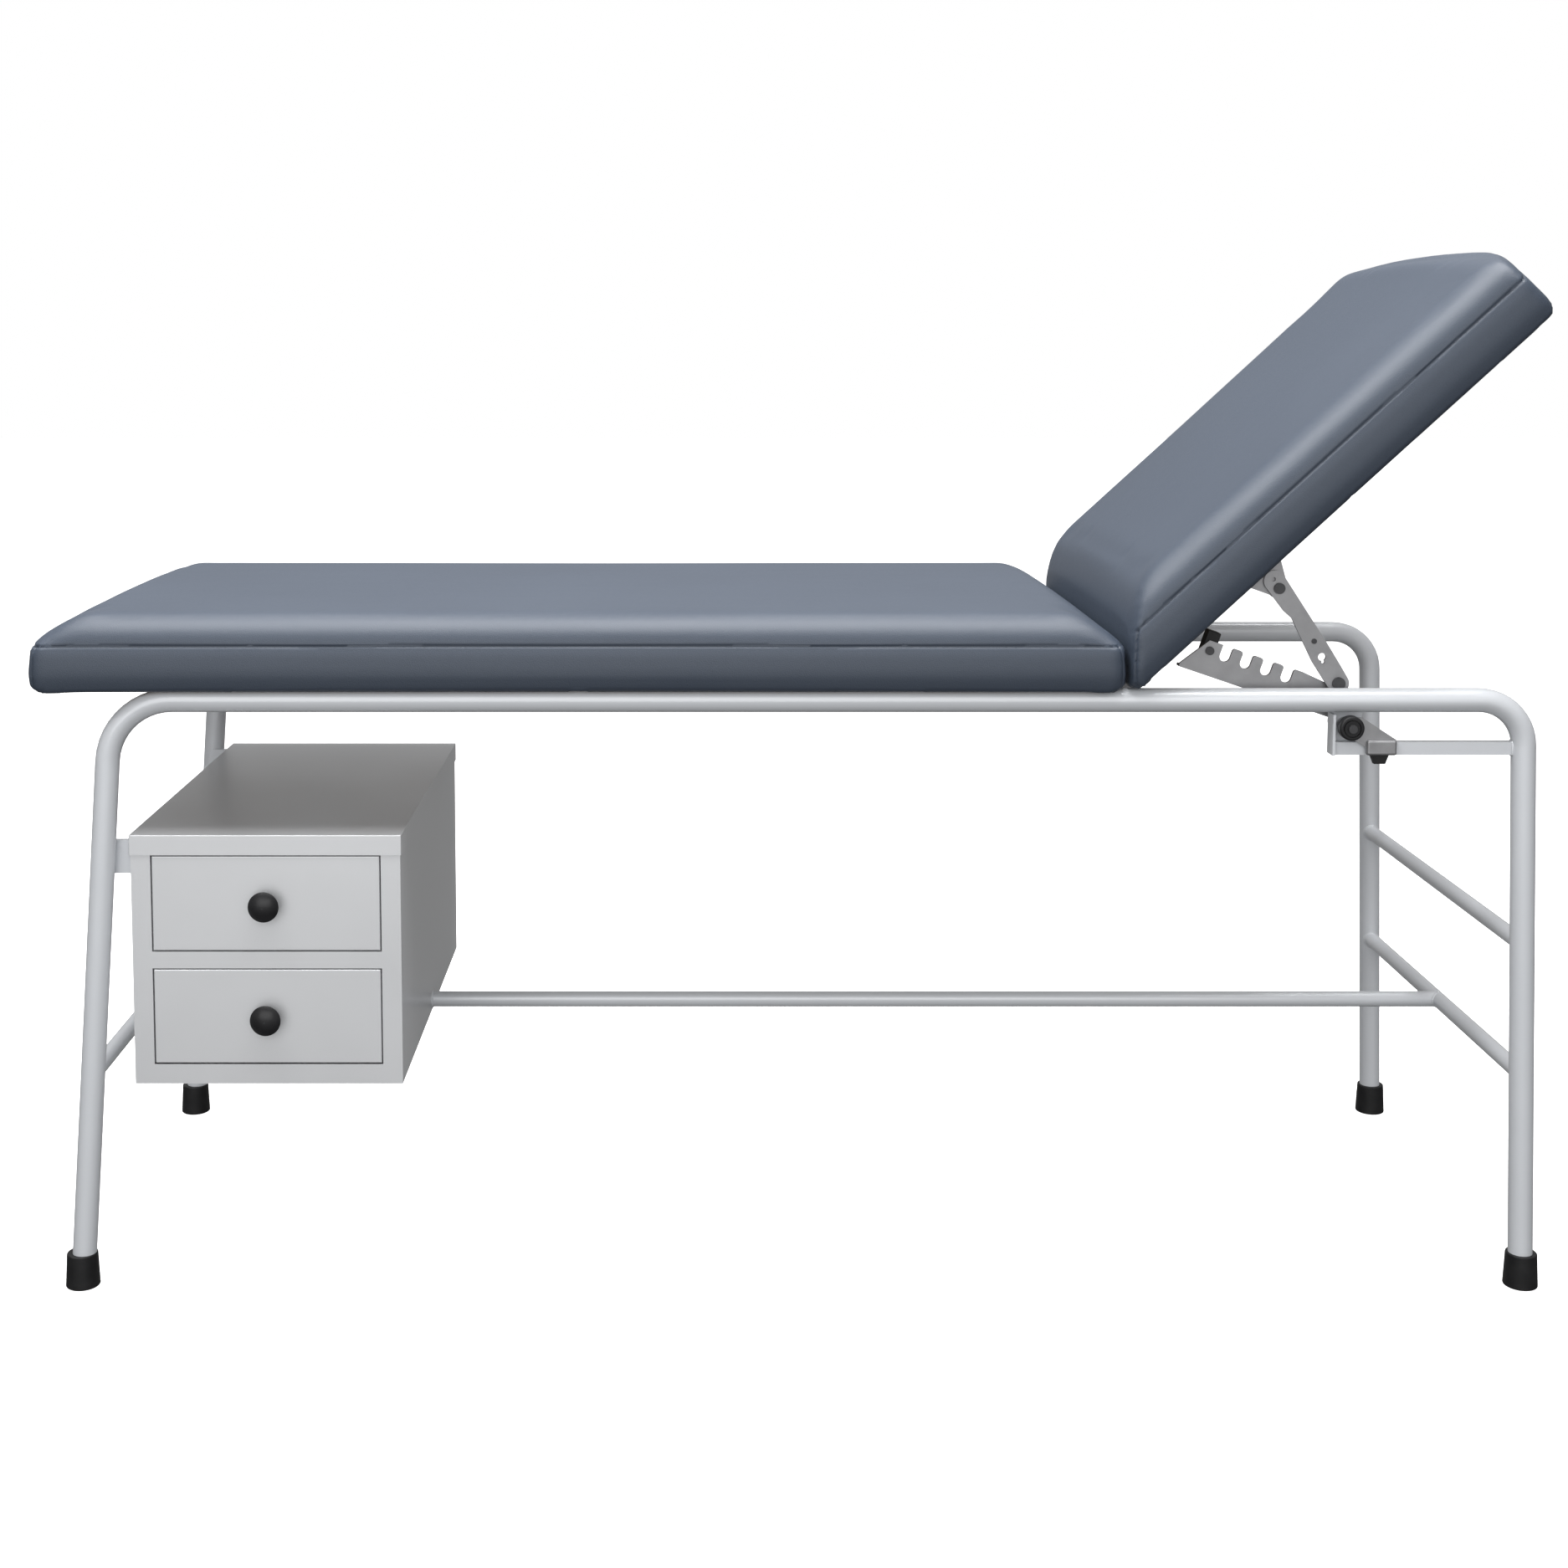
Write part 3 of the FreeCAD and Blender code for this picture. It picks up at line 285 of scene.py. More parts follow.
@dataclass(frozen=True)
class Leatherette:
    """Coated upholstery cloth with a pebbled grain and soft pull lines."""

    name: str
    base: Colour
    worn: Colour
    grain_scale: float
    roughness: float = 0.38
    gloss: float = 0.45
    wear_scale: float = 5.0
    wear_detail: float = 5.0
    wear_dulling: float = 0.12
    grain_dulling: float = 0.08
    grain_share: float = 0.55
    pull_scale: float = 38.0
    pull_detail: float = 3.0
    pull_stretch: Triple = (0.35, 1.0, 1.0)
    pull_share: float = 0.9
    relief: float = 0.28
    relief_depth: float = 0.0007

    def build(self) -> bpy.types.Material:
        """Makes the cloth's coated face.

        Returns:
            The material.
        """
        graph = Surface(self.name)
        wear = graph.noise(self.wear_scale, self.wear_detail)
        pebbles = graph.cells(self.grain_scale)
        pull = graph.noise(self.pull_scale, self.pull_detail, graph.stretch(self.pull_stretch))
        graph.surface(
            Base_Color=graph.blend(wear, self.base, self.worn),
            Roughness=self.roughness + self.wear_dulling * wear + self.grain_dulling * pebbles,
            Specular_IOR_Level=self.gloss,
        )
        height = self.grain_share * pebbles + self.pull_share * pull
        graph.relief(height, self.relief, self.relief_depth)
        return graph.material


@dataclass(frozen=True)
class Moulding:
    """Moulded rubber or plastic, or thread, with a fine skin and a little dust."""

    name: str
    base: Colour
    scuff: Colour
    roughness: float
    skin: float
    gloss: float = 0.3
    dust_scale: float = 60.0
    dust_detail: float = 4.0
    dust_power: float = 2.0
    dust_dulling: float = 0.16
    skin_scale: float = 1400.0
    skin_detail: float = 2.0
    skin_depth: float = 0.0002

    def build(self) -> bpy.types.Material:
        """Makes the moulded skin.

        Returns:
            The material.
        """
        graph = Surface(self.name)
        dust = graph.noise(self.dust_scale, self.dust_detail)
        graph.surface(
            Base_Color=graph.blend(dust**self.dust_power, self.base, self.scuff),
            Roughness=self.roughness + self.dust_dulling * dust,
            Specular_IOR_Level=self.gloss,
        )
        graph.relief(graph.noise(self.skin_scale, self.skin_detail), self.skin, self.skin_depth)
        return graph.material


@dataclass(frozen=True)
class Plating:
    """Plated or blackened steel with rolling lines and cloudy patches."""

    name: str
    base: Colour
    cloud: Colour
    roughness: float
    metal: float = 0.85
    cloud_scale: float = 55.0
    cloud_detail: float = 5.0
    cloud_dulling: float = 0.16
    line_scale: float = 120.0
    line_detail: float = 3.0
    line_stretch: Triple = (1.0, 1.0, 14.0)
    line_dulling: float = 0.08
    line_relief: float = 0.12
    line_depth: float = 0.0002

    def build(self) -> bpy.types.Material:
        """Makes the plated sheet.

        Returns:
            The material.
        """
        graph = Surface(self.name)
        clouds = graph.noise(self.cloud_scale, self.cloud_detail)
        lines = graph.noise(self.line_scale, self.line_detail, graph.stretch(self.line_stretch))
        graph.surface(
            Base_Color=graph.blend(clouds, self.base, self.cloud),
            Metallic=self.metal,
            Roughness=self.roughness + self.cloud_dulling * clouds + self.line_dulling * lines,
        )
        graph.relief(lines, self.line_relief, self.line_depth)
        return graph.material


@dataclass(frozen=True)
class Plywood:
    """Stained birch plywood seen from below."""

    name: str
    base: Colour
    grain: Colour
    roughness: float = 0.62
    grain_scale: float = 26.0
    grain_detail: float = 6.0
    grain_stretch: Triple = (0.12, 1.6, 1.6)
    grain_dulling: float = 0.2
    grain_relief: float = 0.3
    grain_depth: float = 0.0005

    def build(self) -> bpy.types.Material:
        """Makes the stained face.

        Returns:
            The material.
        """
        graph = Surface(self.name)
        streaks = graph.noise(self.grain_scale, self.grain_detail, graph.stretch(self.grain_stretch))
        graph.surface(
            Base_Color=graph.blend(streaks, self.base, self.grain),
            Roughness=self.roughness + self.grain_dulling * streaks,
        )
        graph.relief(streaks, self.grain_relief, self.grain_depth)
        return graph.material


class Finish(Enum):
    """The finishes of the table. All but the last two carry the name of their slot in the record."""

    FRAME = "frame_paint"
    CABINET = "cabinet_paint"
    COVER = "leatherette"
    BOARD = "board"
    RUBBER = "rubber"
    STEEL = "bare_steel"
    KNOB = "black_plastic"
    THREAD = "thread"
    BOLT = "bolt"


FINISHES = {
    Finish.FRAME: Paint(
        "frame_enamel",
        base=(0.62, 0.64, 0.67),
        tint=(0.67, 0.69, 0.72),
        roughness=0.26,
        peel=0.08,
        peel_scale=420.0,
        coat=0.4,
        flake=0.1,
    ),
    Finish.CABINET: Paint(
        "cabinet_enamel",
        base=(0.66, 0.67, 0.685),
        tint=(0.7, 0.71, 0.725),
        roughness=0.34,
        peel=0.14,
        peel_scale=900.0,
        coat=0.1,
        flake=0.45,
    ),
    Finish.COVER: Leatherette(
        "grey_blue_leatherette",
        base=(0.036, 0.048, 0.07),
        worn=(0.045, 0.058, 0.081),
        grain_scale=820.0,
    ),
    Finish.BOARD: Plywood("stained_plywood", base=(0.16, 0.1, 0.055), grain=(0.3, 0.2, 0.115)),
    Finish.RUBBER: Moulding(
        "ferrule_rubber",
        base=(0.006, 0.006, 0.0065),
        scuff=(0.02, 0.02, 0.021),
        roughness=0.45,
        skin=0.3,
    ),
    Finish.STEEL: Plating(
        "zinc_plate",
        base=(0.27, 0.27, 0.278),
        cloud=(0.4, 0.4, 0.41),
        roughness=0.36,
    ),
    Finish.BOLT: Plating(
        "blackened_steel",
        base=(0.05, 0.05, 0.053),
        cloud=(0.11, 0.11, 0.115),
        roughness=0.4,
    ),
    Finish.KNOB: Moulding(
        "knob_plastic",
        base=(0.01, 0.01, 0.011),
        scuff=(0.025, 0.025, 0.027),
        roughness=0.26,
        skin=0.12,
    ),
    Finish.THREAD: Moulding(
        "seam_thread",
        base=(0.05, 0.058, 0.072),
        scuff=(0.09, 0.1, 0.12),
        roughness=0.6,
        skin=0.2,
    ),
}

# The stay's fixings, which are darker than its plated sheet.
BLACKENED = ("strut_bolt", "strut_rivet", "catch_pin", "rack_bolt", "latch_axle")


class Wardrobe:
    """Makes each finish once and hands it out."""

    def __init__(self) -> None:
        """Starts with nothing made."""
        self.made: dict[Finish, bpy.types.Material] = {}

    def get(self, finish: Finish) -> bpy.types.Material:
        """The material of a finish.

        Args:
            finish: the finish wanted.

        Returns:
            Its material.
        """
        if finish not in self.made:
            self.made[finish] = FINISHES[finish].build()
        return self.made[finish]

    def dress(self, piece: bpy.types.Object, finish: Finish) -> None:
        """Puts a finish on every slot of a piece, and gives it a slot if it has none.

        Args:
            piece: the piece.
            finish: its finish.
        """
        if not piece.material_slots:
            piece.data.materials.append(None)
        for slot in piece.material_slots:
            slot.material = self.get(finish)

    def dress_solids(self) -> None:
        """Puts on every solid the finish that the record names, and a darker one on the stay's fixings."""
        by_slot = {finish.value: finish for finish in Finish}
        for entry in frame["record"]["subparts"]:
            node = entry["node"]
            finish = Finish.BOLT if node in BLACKENED else by_slot[entry["material_slot"]]
            self.dress(frame["nodes"][node], finish)


def start_edit(piece: bpy.types.Object) -> None:
    """Selects only this piece and enters edit mode.

    Args:
        piece: the piece to work on.
    """
    pick(piece)
    bpy.ops.object.mode_set(mode="EDIT")


def end_edit() -> None:
    """Leaves edit mode."""
    bpy.ops.object.mode_set(mode="OBJECT")


def pick(piece: bpy.types.Object) -> None:
    """Makes this piece the only one selected.

    Args:
        piece: the piece.
    """
    bpy.ops.object.select_all(action="DESELECT")
    piece.select_set(True)
    bpy.context.view_layer.objects.active = piece


def apply_modifier(piece: bpy.types.Object, kind: str, **settings: object) -> None:
    """Adds a modifier to a piece and applies it.

    Args:
        piece: the piece.
        kind: the modifier's type.
        settings: its settings.
    """
    pick(piece)
    modifier = piece.modifiers.new(kind.lower(), kind)
    for key, value in settings.items():
        setattr(modifier, key, value)
    bpy.ops.object.modifier_apply(modifier=modifier.name)


class End(Enum):
    """The ends of a pad, with the way that each one faces along X."""

    FOOT = -1
    HEAD = 1


@dataclass(frozen=True)
class Fullness:
    """How far a pad's end is filled out, round one height and within a reach."""

    end: End
    amount: float
    reach: float
    height: float


@dataclass
class Pad:
    """An upholstered pad: a swollen cover over foam, with a stitched seam round its top edge.

    Heights are measured from the pad's underside, square to it.
    """

    node: str
    body: str
    origin: Vector
    tilt: float
    joint_end: End
    sewn_ends: tuple[End, ...]
    full_ends: tuple[Fullness, ...]
    board: float = 0.012
    # The net of faces and the foam's pressure.
    merge: float = 0.00005
    voxel: float = 0.008
    smooth_share: float = 0.5
    form_rounds: int = 3
    shrink: float = 0.0015
    pressure: float = 4.0
    stretch_stiffness: float = 18.0
    bend_stiffness: float = 2.0
    cloth_quality: int = 4
    steps: int = 14
    swell_cap: float = 0.0035
    # How the cover lies: tight over the board, fuller at the ends, flat on top.
    tight: float = 0.018
    loose: float = 0.034
    middle_power: int = 8
    rim_drop: float = 0.0035
    rim_width: float = 0.02
    rim_height: float = 0.03
    calm_from: float = 0.056
    calm_full: float = 0.068
    calm_rounds: int = 30
    # The seam, the corners and the row of stitches.
    seam: float = 0.052
    dip: float = 0.0012
    dip_reach: float = 0.009
    fold: float = 0.0018
    fold_half: float = 0.0022
    joint_fade: float = 0.016
    corner_fold: float = 0.0016
    corner_reach: float = 0.04
    stitch_drop: float = 0.0068
    stitch_pitch: float = 0.0075
    stitch_length: float = 0.0052
    thread: float = 0.00065
    thread_sides: int = 6
    thread_lift: float = 0.6
    thread_sink: float = 1.4
    thread_taper: float = 0.5
    taper_power: int = 4

    def __post_init__(self) -> None:
        """Works out how the table's frame turns into the pad's own."""
        flat = Matrix.Rotation(math.radians(self.tilt), 4, "Y") @ Matrix.Translation(-self.origin)
        under = min((flat @ vertex.co).z for vertex in frame["nodes"][self.node].data.vertices)
        self.lie = Matrix.Translation((0, 0, -under)) @ flat
        self.stand = self.lie.inverted()
        self.low, self.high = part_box(self.node)
        self.up = (self.stand.to_3x3() @ Vector((0, 0, 1))).normalized()
        laid = [self.lie @ vertex.co for vertex in frame["nodes"][self.node].data.vertices]
        self.ends = {End.FOOT: min(place.x for place in laid), End.HEAD: max(place.x for place in laid)}

    def height(self, place: Vector) -> float:
        """How high a place is above the pad's underside."""
        return (self.lie @ place).z

    def build(self, wardrobe: Wardrobe) -> list[bpy.types.Object]:
        """Makes the cover and its stitches.

        Args:
            wardrobe: where the finishes come from.

        Returns:
            The pieces.
        """
        cover = self.form()
        self.swell(cover)
        apply_modifier(cover, "SUBSURF", levels=1, render_levels=1)
        self.tack(cover)
        self.plump(cover)
        self.calm(cover)
        self.sew_edge(cover)
        self.sew_corners(cover)
        stitches = self.stitch(cover)
        pick(cover)
        bpy.ops.object.shade_smooth()
        wardrobe.dress(cover, Finish.COVER)
        wardrobe.dress(stitches, Finish.THREAD)
        for piece in (cover, stitches):
            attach(piece, self.body)
        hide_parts(self.node)
        return [cover, stitches]

    def form(self) -> bpy.types.Object:
        """Copies the pad's solid, gives it an even net of faces and makes it a little smaller.

        Returns:
            The cover before it swells.
        """
        solid = frame["nodes"][self.node]
        cover = bpy.data.objects.new(self.node.replace("_pad", "_cover"), solid.data.copy())
        bpy.context.collection.objects.link(cover)
        start_edit(cover)
        bpy.ops.mesh.select_all(action="SELECT")
        bpy.ops.mesh.remove_doubles(threshold=self.merge)
        end_edit()
        cover.data.transform(self.lie)
        apply_modifier(cover, "REMESH", mode="VOXEL", voxel_size=self.voxel)
        apply_modifier(cover, "SMOOTH", factor=self.smooth_share, iterations=self.form_rounds)
        cover.data.transform(self.stand)
        apply_modifier(cover, "SHRINKWRAP", target=solid, wrap_method="NEAREST_SURFACEPOINT")
        inward = [vertex.normal * self.shrink for vertex in cover.data.vertices]
        for vertex, step in zip(cover.data.vertices, inward):
            vertex.co -= step
        cover.data.update()
        return cover

    def swell(self, cover: bpy.types.Object) -> None:
        """Lets the cover swell under pressure, as foam fills it, and keeps how far it moves in bounds.

        Args:
            cover: the cover.
        """
        start = [vertex.co.copy() for vertex in cover.data.vertices]
        outward = [vertex.normal.copy() for vertex in cover.data.vertices]
        held = cover.vertex_groups.new(name="held")
        held_height = self.board + self.voxel / 2
        low = [index for index, place in enumerate(start) if self.height(place) < held_height]
        held.add(low, 1.0, "REPLACE")
        pick(cover)
        cloth = cover.modifiers.new("swell", "CLOTH")
        rules = cloth.settings
        rules.vertex_group_mass = held.name
        rules.use_pressure = True
        rules.uniform_pressure_force = self.pressure
        rules.tension_stiffness = self.stretch_stiffness
        rules.compression_stiffness = self.stretch_stiffness
        rules.bending_stiffness = self.bend_stiffness
        rules.effector_weights.gravity = 0.0
        rules.quality = self.cloth_quality
        cloth.collision_settings.use_collision = False
        cloth.point_cache.frame_start = 1
        cloth.point_cache.frame_end = self.steps
        scene = bpy.context.scene
        for step in range(1, self.steps + 1):
            scene.frame_set(step)
        moved = cover.evaluated_get(bpy.context.evaluated_depsgraph_get())
        swollen = [vertex.co.copy() for vertex in moved.data.vertices]
        cover.modifiers.remove(cloth)
        scene.frame_set(1)
        for vertex, before, after, out in zip(cover.data.vertices, start, swollen, outward):
            step = min(max((after - before).dot(out), 0.0), self.swell_cap)
            vertex.co = before + out * step
            vertex.co.x = min(max(vertex.co.x, self.low.x), self.high.x)
        cover.vertex_groups.clear()
        cover.data.update()

    def tack(self, cover: bpy.types.Object) -> None:
        """Draws the cover's lower edge down tight over the board.

        Args:
            cover: the cover.
        """
        low = cover.vertex_groups.new(name="low")
        for vertex in cover.data.vertices:
            share = (self.loose - self.height(vertex.co)) / (self.loose - self.tight)
            if share > 0:
                low.add([vertex.index], min(share, 1.0), "REPLACE")
        apply_modifier(
            cover,
            "SHRINKWRAP",
            target=frame["nodes"][self.node],
            wrap_method="NEAREST_SURFACEPOINT",
            vertex_group=low.name,
        )
        cover.vertex_groups.clear()

    def plump(self, cover: bpy.types.Object) -> None:
        """Fills the cover out at its fuller ends and lets its lower rim hang a little.

        Args:
            cover: the cover.
        """
        steps = []
        for vertex in cover.data.vertices:
            place = self.lie @ vertex.co
            fill = 0.0
            for full in self.full_ends:
                along = place.x - self.ends[full.end]
                up = place.z - full.height
                middle = 1 - min(abs(vertex.co.y) / self.high.y, 1.0) ** self.middle_power
                fill += full.amount * middle * math.exp(-(along * along + up * up) / full.reach**2)
            rim = max(0.0, 1 - (self.high.y - abs(vertex.co.y)) / self.rim_width)
            rim *= max(0.0, 1 - place.z / self.rim_height)
            steps.append(vertex.normal * fill - self.up * (self.rim_drop * rim))
        for vertex, step in zip(cover.data.vertices, steps):
            vertex.co += step
            if self.joint_end is End.FOOT:
                vertex.co.x = max(vertex.co.x, self.low.x)
            else:
                vertex.co.x = min(vertex.co.x, self.high.x)
        cover.data.update()

    def calm(self, cover: bpy.types.Object) -> None:
        """Smooths the cover's top, where the cloth is stretched flat.

        Args:
            cover: the cover.
        """
        top = cover.vertex_groups.new(name="top")
        for vertex in cover.data.vertices:
            share = (self.height(vertex.co) - self.calm_from) / (self.calm_full - self.calm_from)
            if share > 0:
                top.add([vertex.index], min(share, 1.0), "REPLACE")
        apply_modifier(
            cover,
            "SMOOTH",
            factor=self.smooth_share,
            iterations=self.calm_rounds,
            vertex_group=top.name,
        )
        cover.vertex_groups.clear()

    def off_joint(self, place: Vector) -> float:
        """How far a place is from the end that faces the other pad: 0 at that end, 1 away from it."""
        face = self.low.x if self.joint_end is End.FOOT else self.high.x
        return min(abs(place.x - face) / self.joint_fade, 1.0)

    def sew_edge(self, cover: bpy.types.Object) -> None:
        """Draws the cover in along the seam between its top and its sides.

        Args:
            cover: the cover.
        """
        start_edit(cover)
        for rise in (-self.stitch_drop, -self.fold_half, 0.0, self.fold_half):
            bpy.ops.mesh.select_all(action="SELECT")
            middle = self.stand @ Vector((0, 0, self.seam + rise))
            bpy.ops.mesh.bisect(plane_co=middle, plane_no=self.up)
        end_edit()
        steps = []
        for vertex in cover.data.vertices:
            rise = self.height(vertex.co) - self.seam
            inward = self.dip * math.exp(-((rise / self.dip_reach) ** 2))
            inward += self.fold * max(0.0, 1 - abs(rise) / self.fold_half)
            steps.append(vertex.normal * inward * self.off_joint(vertex.co))
        for vertex, step in zip(cover.data.vertices, steps):
            vertex.co -= step
        cover.data.update()

    def sew_corners(self, cover: bpy.types.Object) -> None:
        """Folds the cover in where the strips of its sides are sewn together at the corners.

        Args:
            cover: the cover.
        """
        for end in self.sewn_ends:
            for side in (-1, 1):
                edge = self.high.x if end is End.HEAD else self.low.x
                corner = Vector((edge, side * self.high.y, 0))
                across = Vector((end.value, -side, 0)).normalized()
                self.sew_corner(cover, corner, across)

    def sew_corner(self, cover: bpy.types.Object, corner: Vector, across: Vector) -> None:
        """Sews one corner.

        Args:
            cover: the cover.
            corner: the corner in plan.
            across: the direction across the seam.
        """
        start_edit(cover)
        for step in (-self.fold_half, 0.0, self.fold_half):
            bpy.ops.mesh.select_all(action="DESELECT")
            end_edit()
            for face in cover.data.polygons:
                gap = face.center - corner
                near = math.hypot(gap.x, gap.y) < self.corner_reach
                face.select = near and self.height(face.center) < self.seam
            bpy.ops.object.mode_set(mode="EDIT")
            bpy.ops.mesh.bisect(plane_co=corner + across * step, plane_no=across)
        end_edit()
        steps = {}
        for vertex in cover.data.vertices:
            gap = vertex.co - corner
            near = math.hypot(gap.x, gap.y) < self.corner_reach
            if near and self.board / 2 < self.height(vertex.co) < self.seam:
                share = max(0.0, 1 - abs(gap.dot(across)) / self.fold_half)
                steps[vertex.index] = vertex.normal * self.corner_fold * share
        for index, step in steps.items():
            cover.data.vertices[index].co -= step
        cover.data.update()

    def stitch_line(self, cover: bpy.types.Object) -> list[tuple[Vector, Vector]]:
        """The stitch row's points in order round the pad.

        Args:
            cover: the cover.

        Returns:
            Places and outward directions.
        """
        level = self.seam - self.stitch_drop
        vertices = cover.data.vertices
        on_row = {v.index for v in vertices if abs(self.height(v.co) - level) < self.thread}
        ways: dict[int, list[int]] = {}
        for edge in cover.data.edges:
            first, second = edge.vertices
            if first in on_row and second in on_row:
                ways.setdefault(first, []).append(second)
                ways.setdefault(second, []).append(first)
        best: list[int] = []
        seen: set[int] = set()
        for begin in sorted(ways):
            if begin in seen:
                continue
            walk, here = [begin], begin
            seen.add(begin)
            while True:
                ahead = [n for n in ways[here] if n not in seen]
                if not ahead:
                    break
                here = ahead[0]
                seen.add(here)
                walk.append(here)
            best = max(best, walk, key=len)
        return [(vertices[i].co.copy(), vertices[i].normal.copy()) for i in best + best[:1]]

    def stitch(self, cover: bpy.types.Object) -> bpy.types.Object:
        """Lays one short thread after another along the stitch row.

        Args:
            cover: the cover.

        Returns:
            The stitches as one piece.
        """
        pattern = self.one_stitch()
        shape = [vertex.co.copy() for vertex in pattern.data.vertices]
        sides = [tuple(face.vertices) for face in pattern.data.polygons]
        reach = self.stitch_length / 2
        row = self.stitch_line(cover)
        verts: list[Vector] = []
        faces: list[tuple[int, ...]] = []
        run = 0.0
        due = self.stitch_pitch / 2
        for (first, out), (second, _) in zip(row, row[1:]):
            length = (second - first).length
            while length > 0 and run + length >= due:
                place = first.lerp(second, (due - run) / length)
                due += self.stitch_pitch
                if self.off_joint(place) < 1:
                    continue
                along = (second - first).normalized()
                outward = (out - along * out.dot(along)).normalized()
                turn = Matrix((outward.cross(along), outward, along)).transposed()
                base = len(verts)
                for point in shape:
                    sink = self.thread * self.thread_sink * (abs(point.z) / reach) ** 2
                    lift = self.thread * self.thread_lift - sink
                    verts.append(place + turn @ point + outward * lift)
                faces += [tuple(base + i for i in face) for face in sides]
            run += length
        mesh = bpy.data.meshes.new(pattern.name)
        mesh.from_pydata(verts, [], faces)
        pattern.data = mesh
        return pattern

    def one_stitch(self) -> bpy.types.Object:
        """Models one thread, thinner towards its ends.

        Returns:
            The thread, lying along Z at the origin.
        """
        bpy.ops.object.select_all(action="DESELECT")
        bpy.ops.mesh.primitive_cylinder_add(
            vertices=self.thread_sides, radius=self.thread, depth=self.stitch_length
        )
        pattern = bpy.context.active_object
        pattern.name = self.node.replace("_pad", "_stitches")
        start_edit(pattern)
        for quarter in (-self.stitch_length / 4, self.stitch_length / 4):
            bpy.ops.mesh.select_all(action="SELECT")
            bpy.ops.mesh.bisect(plane_co=(0, 0, quarter), plane_no=(0, 0, 1))
        end_edit()
        for vertex in pattern.data.vertices:
            share = 2 * abs(vertex.co.z) / self.stitch_length
            thin = 1 - self.thread_taper * share**self.taper_power
            vertex.co.x *= thin
            vertex.co.y *= thin
        return pattern


@dataclass(frozen=True)
class Joint:
    """One welded joint: where a bar's end meets a wall, and how both are shaped.

    The bar runs along one axis and the wall, a tube or a flat sheet, along another.
    """

    name: str
    centre: Vector
    bar: Vector
    wall: Vector
    half_across: float
    half_along: float
    wall_radius: float = 0.0
    wall_offset: float = 0.0
    squareness: float = 2.0


